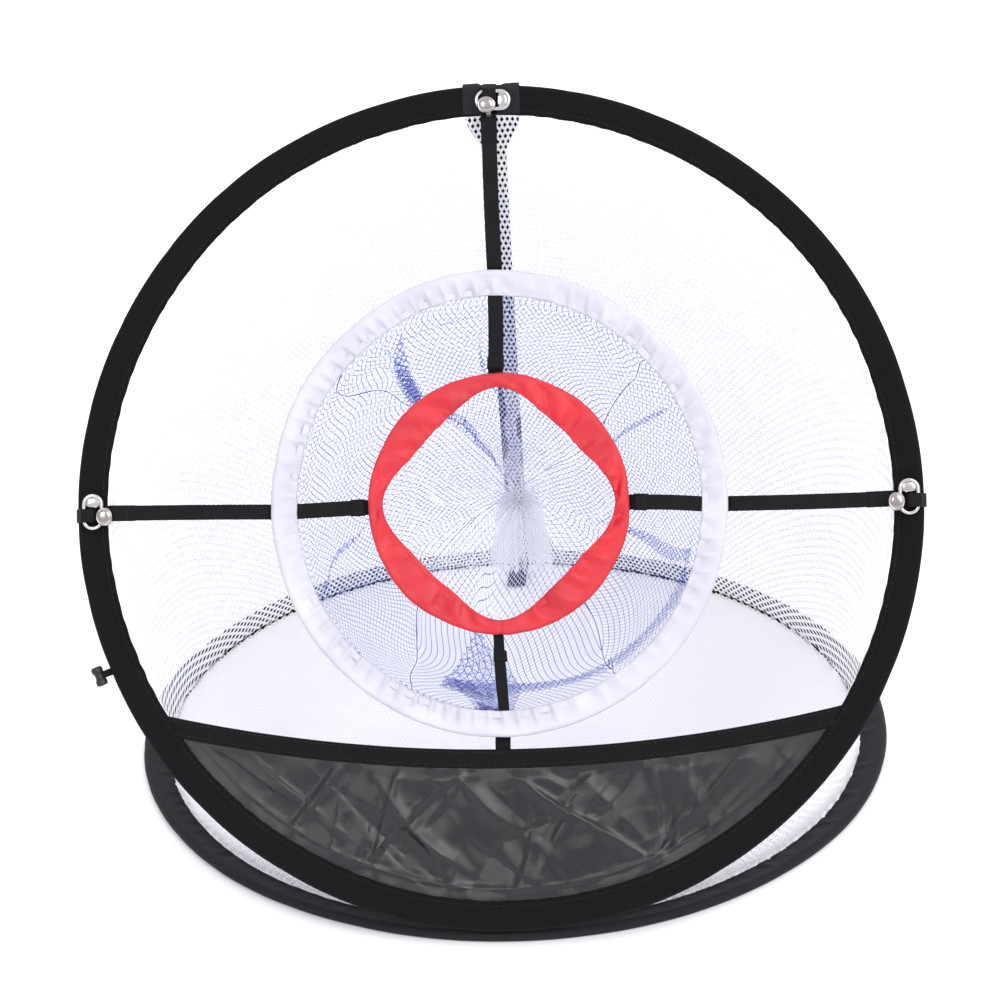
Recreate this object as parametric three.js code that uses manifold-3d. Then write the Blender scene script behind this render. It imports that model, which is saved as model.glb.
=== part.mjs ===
// Pop-up golf chipping net: two sprung wire hoops sewn together at the front, target rings on elastic
// straps across the leaning hoop, and nets behind them. Millimetres, +Z up, +Y to the back.
import * as THREE from 'three';
import { mergeVertices } from 'three/addons/utils/BufferGeometryUtils.js';
import Module from 'manifold-3d';

const wasm = await Module();
wasm.setup();

// Hoops
const TILT = THREE.MathUtils.degToRad(62.5); // lean of the front hoop above the floor
const FRONT_R = 255; // outer radius of the front hoop's sleeve
const BASE_R = 258; // outer radius of the base hoop's sleeve
const HOOP_BAND = 18; // radial width of both sleeves
const BULGE_R = 3.3; // outside radius of the sleeve round the wire
const CAVITY_R = 2.7; // inside radius of the sleeve round the wire
const WIRE_R = 1.6; // sprung steel wire
const FERRULE = [1.85, 2.35]; // inside and outside radius of the crimped join
const SEGS = 72;
const HINGE = [0, -1, 7.4]; // hinge line, along X
const FRONT_OFF = 4.2; // the front hoop's middle plane, above the hinge line
const BASE_Y = BASE_R - 4; // centre of the base hoop
const LIP = 1.35; // half thickness of a sleeve at its sewn inner edge
const GAP = 0.4; // running gap between neighbouring pieces

// Targets, given across and up the front hoop's plane
const WHITE = { a: 138, b: 141, up: 2, band: 16, bulge: 2.5, cavity: 1.9, wire: 1.2 };
const RED = { a: 79, b: 79, up: 1.5, band: 15.5, bulge: 2.2, cavity: 1.6, wire: 1.0 };
const RED_INNER = { reach: 69, power: 1.2 }; // the red sleeve's inner edge is nearly a diamond
const RING_SEGS = 56;

// Pocket
const HEM_LOW = 146; // hem's top edge below the hoop's centre, in the middle
const HEM_RISE = 22.5; // how much higher the hem's ends are, 200 mm out
const HEM_BAND = 11.5;

// Straps and clips
const STRAP = [10, 1.2];
const TAB = [10, 0.8];
const CLIP_ANGLES = { top: 90, left: 180, right: 0 };
const CLIP_RING = { s: 10, n: 6.6, long: 9.85, short: 5.3, wire: 1.15 };
const KNOB = [5.2, 3.3]; // half width along the hoop and half height
const TOGGLE = { angle: 202, s: -7.6, long: 12, r: 3.5, waist: 2.6 };

// Net cloth
const CLOTH = 0.8;

const group = new THREE.Group();
const V = (x, y, z) => new THREE.Vector3(x, y, z);

/** Matrix from the front hoop's plane (x across, y up the plane, z towards the player) to the row. */
function frontMatrix() {
  const up = V(0, Math.cos(TILT), Math.sin(TILT));
  const out = V(0, -Math.sin(TILT), Math.cos(TILT));
  const m = new THREE.Matrix4().makeBasis(V(1, 0, 0), up, out);
  const o = V(...HINGE).addScaledVector(out, FRONT_OFF).addScaledVector(up, FRONT_R);
  return m.setPosition(o);
}
const FRONT = frontMatrix();

/** Flips the faces if they point inwards, and merges the vertices. */
function outward(geometry) {
  geometry.deleteAttribute('uv');
  geometry.deleteAttribute('normal');
  const g = mergeVertices(geometry, 1e-4);
  const p = g.attributes.position;
  const index = g.index.array;
  const at = (i) => V().fromBufferAttribute(p, index[i]);
  let volume = 0;
  for (let i = 0; i < index.length; i += 3) volume += at(i).dot(at(i + 1).cross(at(i + 2)));
  if (volume < 0) {
    for (let i = 0; i < index.length; i += 3) [index[i], index[i + 1]] = [index[i + 1], index[i]];
  }
  g.computeVertexNormals();
  return g;
}

/** Closed skin over rings of points. With loop the last ring joins the first, else both ends get caps. */
function skin(rings, loop) {
  const n = rings[0].length;
  const points = rings.flat();
  const index = [];
  const count = loop ? rings.length : rings.length - 1;
  for (let i = 0; i < count; i++) {
    const a = i * n;
    const b = ((i + 1) % rings.length) * n;
    for (let j = 0; j < n; j++) {
      const k = (j + 1) % n;
      index.push(a + j, a + k, b + k, a + j, b + k, b + j);
    }
  }
  if (!loop) {
    for (const [start, turn] of [[0, 1], [(rings.length - 1) * n, 0]]) {
      const centre = V(0, 0, 0);
      for (let j = 0; j < n; j++) centre.addScaledVector(points[start + j], 1 / n);
      points.push(centre);
      for (let j = 0; j < n; j++) {
        const edge = [start + j, start + (j + 1) % n];
        index.push(points.length - 1, edge[turn], edge[1 - turn]);
      }
    }
  }
  const g = new THREE.BufferGeometry();
  g.setAttribute('position', new THREE.Float32BufferAttribute(points.flatMap((p) => p.toArray()), 3));
  g.setIndex(index);
  return outward(g);
}

function add(name, geometry, matrix, colour, metal = 0) {
  const material = new THREE.MeshStandardMaterial({ color: colour, roughness: metal ? 0.3 : 0.8, metalness: metal });
  if (matrix) geometry.applyMatrix4(matrix);
  const mesh = new THREE.Mesh(geometry, material);
  mesh.name = name;
  group.add(mesh);
}

const arc = (cs, cn, r, from, to, steps) => Array.from({ length: steps + 1 }, (_, i) => {
  const a = THREE.MathUtils.degToRad(from + ((to - from) * i) / steps);
  return [cs + r * Math.cos(a), cn + r * Math.sin(a)];
});

/** Section of a folded sleeve as [in from the outer edge, along the normal], open at its sewn edge. */
function sleeveSection(band, bulge, cavity, lip, slit) {
  return [
    [band, slit], [band, lip],
    ...arc(bulge, 0, bulge, 75, 285, 7),
    [band, -lip], [band, -slit],
    ...arc(bulge, 0, cavity, -20, -340, 8),
  ];
}

/** The base sleeve's section, flat underneath. */
function baseSection() {
  return [
    [HOOP_BAND, 1.8], [HOOP_BAND, 2.8],
    ...arc(BULGE_R, BULGE_R, BULGE_R, 75, 200, 5),
    [0.7, 0.8], [2.2, 0],
    [HOOP_BAND, 0], [HOOP_BAND, 1.0],
    ...arc(BULGE_R, BULGE_R, CAVITY_R, -58, -325, 7),
  ];
}

/** Sweeps a section right round. place gives the point for a turn, an inward distance and a height. */
function ringOf(section, segs, place) {
  const rings = [];
  for (let i = 0; i < segs; i++) {
    const turn = (2 * Math.PI * i) / segs;
    rings.push(section.map(([s, n]) => place(turn, s, n)));
  }
  return skin(rings, true);
}

const circle = (r) => (turn, s, n) => V((r - s) * Math.cos(turn), (r - s) * Math.sin(turn), n);
const oval = (ring) => (turn, s, n) => V((ring.a - s) * Math.cos(turn), ring.up + (ring.b - s) * Math.sin(turn), n);

/** Distance from the centre to the edge of the red ring's opening. */
function diamond(turn, reach) {
  const { power } = RED_INNER;
  const sum = Math.abs(Math.cos(turn)) ** power + Math.abs(Math.sin(turn)) ** power;
  return reach / sum ** (1 / power);
}

/** The red ring: its band runs from the wire in to the diamond. */
function redPlace(turn, s, n) {
  const wide = RED.a - diamond(turn, RED_INNER.reach);
  const start = 2 * RED.bulge;
  const share = Math.max(0, s - start) / (RED.band - start);
  const inward = Math.min(s, start) + share * (wide - start);
  return V((RED.a - inward) * Math.cos(turn), RED.up + (RED.a - inward) * Math.sin(turn), n);
}

/** A crimped tube over the wire's ends, for one segment of the hoop. */
function ferrule(place, start, height) {
  const rings = [];
  for (const [i, r] of [[0, 1], [1, 1], [1, 0], [0, 0]]) {
    const turn = (2 * Math.PI * (start + i)) / SEGS;
    rings.push(arc(BULGE_R, height, FERRULE[r], -20, 340, 9).slice(0, 9).map(([s, n]) => place(turn, s, n)));
  }
  return skin(rings, true);
}

function hoops() {
  const base = new THREE.Matrix4().makeTranslation(0, BASE_Y, 0);
  const round = (r, height) => arc(BULGE_R, height, r, 0, 360, 8).slice(0, 8);
  add('front_hoop_sleeve', ringOf(sleeveSection(HOOP_BAND, BULGE_R, CAVITY_R, LIP, 0.4), SEGS, circle(FRONT_R)),
    FRONT, 0x1d1d20);
  add('front_hoop_wire', ringOf(round(WIRE_R, 0), SEGS, circle(FRONT_R)), FRONT, 0x8d9094, 1);
  add('front_wire_ferrule', ferrule(circle(FRONT_R), 53, 0), FRONT, 0xa8abb0, 1);
  add('base_hoop_sleeve', ringOf(baseSection(), SEGS, circle(BASE_R)), base, 0x26262a);
  add('base_hoop_wire', ringOf(round(WIRE_R, BULGE_R), SEGS, circle(BASE_R)), base, 0x8d9094, 1);
  add('base_wire_ferrule', ferrule(circle(BASE_R), 17, BULGE_R), base, 0xa8abb0, 1);
  const tape = new THREE.BoxGeometry(64, 0.8, 1.7);
  add('hinge_seam_tape', outward(tape), new THREE.Matrix4().makeTranslation(0, HINGE[1], 7.55), 0x151517);
}

function targets() {
  const whiteSection = sleeveSection(WHITE.band, WHITE.bulge, WHITE.cavity, 1.1, 0.35);
  const round = (ring) => arc(ring.bulge, 0, ring.wire, 0, 360, 7).slice(0, 7);
  add('white_ring_sleeve', ringOf(whiteSection, RING_SEGS, oval(WHITE)), FRONT, 0xe9e8f0);
  add('white_ring_wire', ringOf(round(WHITE), RING_SEGS, oval(WHITE)), FRONT, 0x8d9094, 1);
  const redSection = sleeveSection(RED.band, RED.bulge, RED.cavity, 0.95, 0.35);
  add('red_ring_sleeve', ringOf(redSection, RING_SEGS, redPlace), FRONT, 0xd8303e);
  add('red_ring_wire', ringOf(round(RED), RING_SEGS, redPlace), FRONT, 0x8d9094, 1);
}

const hemTop = (x) => -HEM_LOW + HEM_RISE * (x / 200) ** 2;

/** Where a curve below the hem meets the sleeve's inner edge. */
function hemEnd(below, r) {
  let low = 0;
  let high = r;
  for (let i = 0; i < 40; i++) {
    const x = (low + high) / 2;
    if (Math.hypot(x, hemTop(x) - below) < r) low = x;
    else high = x;
  }
  return low;
}

function plate(points, thick) {
  const shape = new THREE.Shape(points.map(([x, y]) => new THREE.Vector2(x, y)));
  const g = new THREE.ExtrudeGeometry(shape, { depth: thick, bevelEnabled: false });
  return outward(g.translate(0, 0, -thick / 2));
}

function pocket() {
  const r = FRONT_R - HOOP_BAND - 0.6;
  const along = (below, steps) => {
    const end = hemEnd(below, r);
    return Array.from({ length: steps + 1 }, (_, i) => {
      const x = -end + (2 * end * i) / steps;
      return [x, hemTop(x) - below];
    });
  };
  add('pocket_hem_binding', plate([...along(0, 24), ...along(HEM_BAND, 24).reverse()], 2), FRONT, 0x141416);
  const top = along(HEM_BAND + GAP, 24);
  const [x, y] = top.at(-1);
  const start = Math.atan2(y, x);
  const sweep = -Math.PI - 2 * start;
  const bottom = Array.from({ length: 35 }, (_, i) => {
    const a = start + (sweep * (i + 1)) / 36;
    return [r * Math.cos(a), r * Math.sin(a)];
  });
  add('pocket_panel', plate([...top, ...bottom], CLOTH), FRONT, 0x35343a);
}

/** The net wall from the base hoop's sewn edge up to the front hoop's. */
function wallPoint(turn, t, inward) {
  const low = BASE_R - HOOP_BAND - 1 - inward;
  const high = FRONT_R - HOOP_BAND - 0.8 - inward;
  const base = V(low * Math.cos(turn), BASE_Y + low * Math.sin(turn), 2.6);
  const front = V(high * Math.cos(turn), high * Math.sin(turn), -LIP - 0.5).applyMatrix4(FRONT);
  return base.lerp(front, t);
}

/** A flat strip on the outside of the wall at the back, from one height share to another. */
function spineStrip(from, to, widths) {
  const rise = wallPoint(Math.PI / 2, 1, 0).sub(wallPoint(Math.PI / 2, 0, 0)).normalize();
  const out = V(0, rise.z, -rise.y);
  const rings = [from, to].map((t, i) => {
    const c = wallPoint(Math.PI / 2, t, 0);
    const half = widths[i] / 2;
    return [[-half, 0.5], [half, 0.5], [half, 1.7], [-half, 1.7]].map(([x, n]) => (
      c.clone().addScaledVector(out, n).add(V(x, 0, 0))));
  });
  return skin(rings, false);
}

function outerNet() {
  const rings = [];
  for (let i = 0; i < SEGS; i++) {
    const turn = (2 * Math.PI * i) / SEGS;
    rings.push([[0, 0], [0.5, 0], [1, 0], [1, CLOTH], [0.5, CLOTH], [0, CLOTH]].map(([t, n]) => wallPoint(turn, t, n)));
  }
  add('outer_net_wall', skin(rings, true), null, 0xf4f3f8);
  const floor = new THREE.CylinderGeometry(BASE_R - HOOP_BAND - 1.6, BASE_R - HOOP_BAND - 1.6, 0.6, SEGS);
  floor.rotateX(Math.PI / 2).rotateZ(Math.PI / 2);
  add('outer_net_floor', outward(floor), new THREE.Matrix4().makeTranslation(0, BASE_Y, 1.3), 0xf4f3f8);
  add('rear_spine_webbing', spineStrip(0.012, 0.945, [15, 15]), null, 0x18181a);
  add('spine_top_gusset', spineStrip(0.947, 0.993, [15, 32]), null, 0x18181a);
}

/** A bag of net: rings of points from its mouth to its closed end, with the wall given inwards. */
function bag(outline, thick, stations) {
  const outer = [];
  const inner = [];
  for (const s of stations) {
    outer.push(outline(s, 0));
    if (s.open) inner.push(outline(s, thick));
  }
  return skin([...inner.reverse(), ...outer], false);
}

/** One ring of a bag: centre, half sizes and lean of its plane in the row, and the share of the diamond. */
function bagRing({ y, z, x = 0, rx, rz, lean, square = 0 }, inward) {
  const a = THREE.MathUtils.degToRad(lean);
  const steps = 40;
  return Array.from({ length: steps }, (_, i) => {
    const turn = (2 * Math.PI * i) / steps;
    const pull = 1 + square * (diamond(turn, 1) - 1);
    const across = (rx - inward) * pull * Math.cos(turn);
    const up = (rz - inward) * pull * Math.sin(turn);
    return V(x + across, y + up * Math.cos(a), z + up * Math.sin(a));
  });
}

function nets() {
  const lean = THREE.MathUtils.radToDeg(TILT);
  const mouth = V(0, WHITE.up, -1.3).applyMatrix4(FRONT); // clear of the straps
  const blue = [
    { y: mouth.y, z: mouth.z, rx: WHITE.a - WHITE.band - 1, rz: WHITE.b - WHITE.band - 1, lean, open: true },
    { y: 150, z: 214, rx: 114, rz: 116, lean: 58, open: true },
    { y: 190, z: 184, rx: 103, rz: 104, lean: 50, open: true },
    { y: 225, z: 150, rx: 84, rz: 84, lean: 40, open: true },
    { y: 248, z: 118, rx: 55, rz: 54, lean: 30, open: true },
    { y: 258, z: 104, rx: 22, rz: 22, lean: 24 },
  ];
  add('blue_net', bag(bagRing, CLOTH, blue), null, 0x3f6bd0);
  const centre = V(0, RED.up, 0).applyMatrix4(FRONT);
  const white = [
    { y: centre.y, z: centre.z, rx: RED_INNER.reach - 0.8, rz: RED_INNER.reach - 0.8, lean, square: 1, open: true },
    { y: 145, z: 221, x: 1, rx: 56, rz: 56, lean: 61, square: 0.7, open: true },
    { y: 178, z: 206, x: 4, rx: 38, rz: 37, lean: 57, square: 0.3, open: true },
    { y: 206, z: 196, x: 7, rx: 21, rz: 20, lean: 50, open: true },
    { y: 222, z: 190, x: 9, rx: 11, rz: 11, lean: 32 },
    { y: 230, z: 176, x: 9, rx: 10, rz: 8, lean: 12 },
    { y: 232, z: 152, x: 10, rx: 14, rz: 9, lean: 0 },
    { y: 233, z: 132, x: 11, rx: 16, rz: 9, lean: 0 },
  ];
  add('white_net', bag(bagRing, CLOTH, white), null, 0xf6f6fa);
}

/** A straight strap between two points of the front plane. */
function strap(name, a, b, width = STRAP[0]) {
  const from = new THREE.Vector2(...a);
  const along = new THREE.Vector2(...b).sub(from);
  const g = new THREE.BoxGeometry(along.length(), width, STRAP[1]);
  const m = new THREE.Matrix4().makeRotationZ(along.angle());
  m.setPosition(from.x + along.x / 2, from.y + along.y / 2, -0.2);
  add(name, outward(g), m.premultiply(FRONT), 0x17171a);
}

function straps() {
  const reach = FRONT_R - 23.6; // where a strap meets its hook
  const edge = 0.6;
  strap('outer_strap_top', [-2, reach], [0, WHITE.up + WHITE.b + edge]);
  strap('outer_strap_left', [-reach, 0], [-WHITE.a - edge, -1]);
  strap('outer_strap_right', [reach, 0], [WHITE.a + edge, -1]);
  strap('outer_strap_bottom', [0, -HEM_LOW + GAP], [0, WHITE.up - WHITE.b - GAP]);
  const outer = RED.a + edge;
  strap('inner_strap_top', [0, WHITE.up + WHITE.b - WHITE.band - 0.5], [0, RED.up + outer]);
  strap('inner_strap_bottom', [1, WHITE.up - WHITE.b + WHITE.band + 0.5], [-2, RED.up - outer], 8);
  strap('inner_strap_left', [-WHITE.a + WHITE.band + 0.7, -1], [-outer, 1]);
  strap('inner_strap_right', [WHITE.a - WHITE.band - 0.7, -1], [outer, 1]);
}

/** Matrix of a fitting on the front hoop: x in from the outer edge, y along the hoop, z outwards. */
function onHoop(angle) {
  const a = THREE.MathUtils.degToRad(angle);
  const m = new THREE.Matrix4().makeBasis(
    V(-Math.cos(a), -Math.sin(a), 0), V(Math.sin(a), -Math.cos(a), 0), V(0, 0, 1));
  m.setPosition(FRONT_R * Math.cos(a), FRONT_R * Math.sin(a), 0);
  return m.premultiply(FRONT);
}

/** A flat ribbon of cloth that follows a path in the section plane, of a width along the hoop. */
function ribbon(path, thick, width) {
  const pts = path.map(([x, y]) => new THREE.Vector2(x, y));
  const side = (i) => {
    const a = pts[Math.max(i - 1, 0)];
    const b = pts[Math.min(i + 1, pts.length - 1)];
    const d = b.clone().sub(a).normalize();
    return new THREE.Vector2(-d.y, d.x).multiplyScalar(thick / 2);
  };
  const left = pts.map((p, i) => p.clone().add(side(i)));
  const right = pts.map((p, i) => p.clone().sub(side(i)));
  const outline = [...left, ...right.reverse()];
  const g = new THREE.ExtrudeGeometry(new THREE.Shape(outline), { depth: width, bevelEnabled: false });
  g.translate(0, 0, -width / 2).rotateX(Math.PI / 2);
  return outward(g);
}

/** The webbing tab: round the back and the outer edge of the hoop, then round the ring's outer bar. */
function tabPath() {
  const wrap = 4.1;
  const barS = CLIP_RING.s - CLIP_RING.short;
  const curl = CLIP_RING.wire + 0.3 + TAB[1] / 2;
  const gap = Math.hypot(barS - BULGE_R, CLIP_RING.n);
  const along = Math.atan2(CLIP_RING.n, barS - BULGE_R);
  const leave = THREE.MathUtils.radToDeg(along + Math.acos((wrap - curl) / gap));
  return [
    [13, -2.8], [7, -3.7],
    ...arc(BULGE_R, 0, wrap, 275, leave, 9),
    ...arc(barS, CLIP_RING.n, curl, leave, -80, 10),
  ];
}

/** The oval wire ring. */
function clipRing() {
  const { s, n, long, short, wire } = CLIP_RING;
  const rings = [];
  const steps = 32;
  for (let i = 0; i < steps; i++) {
    const a = (2 * Math.PI * i) / steps;
    const flat = long - short;
    const c = V(s + short * Math.cos(a), short * Math.sin(a) + flat * Math.sign(Math.round(Math.sin(a) * 1e6)), n);
    const out = V(Math.cos(a), Math.sin(a), 0);
    rings.push(Array.from({ length: 8 }, (_, j) => {
      const b = (2 * Math.PI * j) / 8;
      return c.clone().addScaledVector(out, wire * Math.cos(b)).add(V(0, 0, wire * Math.sin(b)));
    }));
  }
  return skin(rings, true);
}

function toManifold(geometry) {
  return new wasm.Manifold(new wasm.Mesh({
    numProp: 3,
    vertProperties: new Float32Array(geometry.attributes.position.array),
    triVerts: new Uint32Array(geometry.index.array),
  }));
}

function fromManifold(solid) {
  const mesh = solid.getMesh();
  const g = new THREE.BufferGeometry();
  g.setAttribute('position', new THREE.Float32BufferAttribute(mesh.vertProperties, 3));
  g.setIndex(Array.from(mesh.triVerts));
  return outward(g);
}

/** The strap's hook: a domed knob with a throat behind it that takes the ring's inner bar, and a neck. */
function hook() {
  const [wide, high] = KNOB;
  const { s, n, short, wire } = CLIP_RING;
  const profile = [
    [0, 9.2], [2.6, 9.0], [4.4, 8.1], [wide, 6.4], [wide, 3.6], [4.2, 1.6], [2.4, 0.6], [1.9, -0.4],
    [1.9, -2.6], [0, -2.6],
  ].map(([x, y]) => new THREE.Vector2(x, y));
  const knob = new THREE.LatheGeometry(profile, 20);
  knob.rotateZ(Math.PI / 2).scale(1, 1, high / wide).translate(s + short + 4.6, 0, n);
  const bore = outward(new THREE.CylinderGeometry(wire + 0.4, wire + 0.4, 14, 16).translate(s + short, 0, n));
  const slot = outward(new THREE.BoxGeometry(2 * (wire + 0.3), 14, 8).translate(s + short, 0, n - 4));
  const cut = toManifold(outward(knob)).subtract(toManifold(bore)).subtract(toManifold(slot));
  return fromManifold(cut);
}

function clips() {
  for (const [side, angle] of Object.entries(CLIP_ANGLES)) {
    const m = onHoop(angle);
    add(`clip_tab_${side}`, ribbon(tabPath(), TAB[1], TAB[0]), m, 0x17171a);
    add(`clip_ring_${side}`, clipRing(), m, 0xc9ccd2, 1);
    add(`strap_hook_${side}`, hook(), m, 0xc9ccd2, 1);
  }
}

function keeper() {
  const m = onHoop(TOGGLE.angle);
  const path = [[13, -2.8], [7, -3.7], ...arc(BULGE_R, 0, 4.1, 275, 215, 4), [-1.6, -1.6], [-3.4, -0.7]];
  add('keeper_loop', ribbon(path, 1, 3), m, 0x17171a);
  const { long, r, waist, s } = TOGGLE;
  const half = long / 2;
  const profile = [
    [0, -half], [2.6, -half], [r, -half + 1], [r, -2.4], [waist, -1.6], [waist, 1.6], [r, 2.4],
    [r, half - 1], [2.6, half], [0, half],
  ].map(([x, y]) => new THREE.Vector2(x, y));
  add('keeper_toggle', outward(new THREE.LatheGeometry(profile, 16).translate(s, 0, 0)), m, 0x101012);
}

/** The reinforcing patch sewn on the front face of the sleeve under the top clip. */
function patch() {
  const slope = (s) => 3.2 - ((s - 4.1) * (3.2 - LIP)) / (HOOP_BAND - 4.1) + 0.65;
  add('sleeve_top_patch', ribbon([[8.2, slope(8.2)], [12, slope(12)], [17, slope(17)]], 0.6, 34), onHoop(90), 0x1b1b1e);
}

hoops();
targets();
pocket();
outerNet();
nets();
straps();
clips();
keeper();
patch();

export default group;
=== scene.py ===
"""Golf chipping net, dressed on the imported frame: sleeves, nets of real threads, straps and fittings."""
import math

import bpy
import numpy as np
from mathutils import Matrix, Vector


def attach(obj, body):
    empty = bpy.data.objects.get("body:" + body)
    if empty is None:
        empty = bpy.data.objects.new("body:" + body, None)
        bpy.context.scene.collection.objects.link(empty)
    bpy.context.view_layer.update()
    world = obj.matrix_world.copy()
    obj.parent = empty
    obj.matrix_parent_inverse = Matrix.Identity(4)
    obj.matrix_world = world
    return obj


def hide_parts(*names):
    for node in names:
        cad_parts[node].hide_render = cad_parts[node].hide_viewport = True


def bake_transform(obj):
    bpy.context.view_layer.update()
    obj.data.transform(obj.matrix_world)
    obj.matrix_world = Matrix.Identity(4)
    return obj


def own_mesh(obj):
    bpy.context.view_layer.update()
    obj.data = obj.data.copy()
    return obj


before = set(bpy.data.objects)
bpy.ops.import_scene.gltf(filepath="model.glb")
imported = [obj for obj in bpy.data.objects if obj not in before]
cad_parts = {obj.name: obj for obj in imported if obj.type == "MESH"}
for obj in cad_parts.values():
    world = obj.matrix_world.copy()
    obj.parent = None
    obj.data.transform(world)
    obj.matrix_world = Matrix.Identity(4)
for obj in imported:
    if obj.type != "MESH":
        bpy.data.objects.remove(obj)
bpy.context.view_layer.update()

# ---------------------------------------------------------------- frame, in millimetres
# HINGE is the fold's line, BAND a sleeve's width, BULGE its radius round the wire. The front hoop's plane is
# HOOP_RISE above the hinge. In the rings, a and b are half their width and height, and up their centre.
MM = 0.001
HINGE = np.array([0.0, -1.0, 7.4])
HOOP_RISE = 4.2
TILT = math.radians(62.5)
FRONT_R, BASE_R, BAND = 255.0, 258.0, 18.0
BULGE = 3.3
BASE_Y = BASE_R - 4
ACROSS = np.array([1.0, 0.0, 0.0])
UP = np.array([0.0, math.cos(TILT), math.sin(TILT)])
OUT = np.array([0.0, -math.sin(TILT), math.cos(TILT)])
CENTRE = HINGE + HOOP_RISE * OUT + FRONT_R * UP
WHITE = dict(a=138.0, b=141.0, up=2.0, band=16.0, bulge=2.5)
RED = dict(a=79.0, b=79.0, up=1.5, band=15.5, bulge=2.2, reach=70.5, side=82.0)


def front(x, v, n):
    """Points given across, up and out of the front hoop's plane, in the shared frame."""
    x, v, n = np.broadcast_arrays(x, v, n)
    return CENTRE + x[..., None] * ACROSS + v[..., None] * UP + n[..., None] * OUT


# ---------------------------------------------------------------- small maths
def unit(v):
    return v / np.maximum(np.linalg.norm(v, axis=-1, keepdims=True), 1e-12)


def smooth(x, low, high):
    """0 up to low and 1 from high on, with a soft step between."""
    t = np.clip((np.asarray(x, float) - low) / (high - low), 0, 1)
    return t * t * (3 - 2 * t)


def ripple(turn, seed, low, high):
    """Smooth random waves round a ring, with low to high waves a turn, roughly -1 to 1."""
    count = 14
    rng = np.random.default_rng(seed)
    waves = rng.integers(low, high + 1, count)
    phase = rng.uniform(0, 2 * math.pi, count)
    size = rng.uniform(0.4, 1.0, count)
    turn = np.asarray(turn, float)
    total = sum(s * np.sin(w * turn + p) for w, p, s in zip(waves, phase, size))
    return total / (0.62 * count ** 0.5 * 1.6)


def crumple(x, y, seed, wave, count, along=None):
    """Smooth random waves over a plane, with wavelengths near wave, roughly -1 to 1."""
    rng = np.random.default_rng(seed)
    total = 0
    for _ in range(count):
        a = rng.uniform(0, math.pi) if along is None else along + rng.normal(0, 0.3)
        k = 2 * math.pi / (wave * rng.uniform(0.7, 1.5))
        total = total + rng.uniform(0.5, 1) * np.sin(
            k * (x * math.cos(a) + y * math.sin(a)) + rng.uniform(0, 7))
    return total / (0.75 * count ** 0.5 * 1.5)


def crease(value):
    """Turns smooth waves into sharp ridges, 0 to 1."""
    return 1 - np.minimum(1, np.abs(value) * 1.6)


def measure(points, closed=False):
    """Distance along a polyline at each of its points, and on to the first again where it is closed."""
    p = np.vstack([points, points[:1]]) if closed else points
    return np.r_[0, np.linalg.norm(np.diff(p, axis=0), axis=1).cumsum()]


def sample(values, along, where):
    """Rows of values known at the distances along, read off at others."""
    return np.stack([np.interp(where, along, column) for column in values.T], -1)


def spline(points, count):
    """Evenly spaced points on a smooth curve through the given ones."""
    p = np.asarray(points, float)
    q = np.vstack([2 * p[0] - p[1], p, 2 * p[-1] - p[-2]])
    t = np.linspace(0, 1, 24, endpoint=False)[:, None]
    parts = []
    for a, b, c, d in zip(q, q[1:], q[2:], q[3:]):
        parts.append(0.5 * (2 * b + (c - a) * t + (2 * a - 5 * b + 4 * c - d) * t ** 2
                            + (3 * b - a - 3 * c + d) * t ** 3))
    dense = np.vstack(parts + [p[-1:]])
    along = measure(dense)
    return sample(dense, along, np.linspace(0, along[-1], count))


def arc(cs, cn, r, start, end, steps):
    """Points on an arc, its bearings in degrees."""
    a = np.radians(np.linspace(start, end, steps + 1))
    return [(cs + r * c, cn + r * s) for c, s in zip(np.cos(a), np.sin(a))]


def around(count):
    """Evenly spaced bearings round a whole turn."""
    return np.linspace(0, 2 * math.pi, count, endpoint=False)


def outward(section):
    """Unit normals of a section's curve, away from its middle."""
    d = unit(np.gradient(section, axis=0))
    normal = np.stack([d[:, 1], -d[:, 0]], -1)
    return normal * np.sign(((section - section.mean(0)) * normal).sum())


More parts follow.
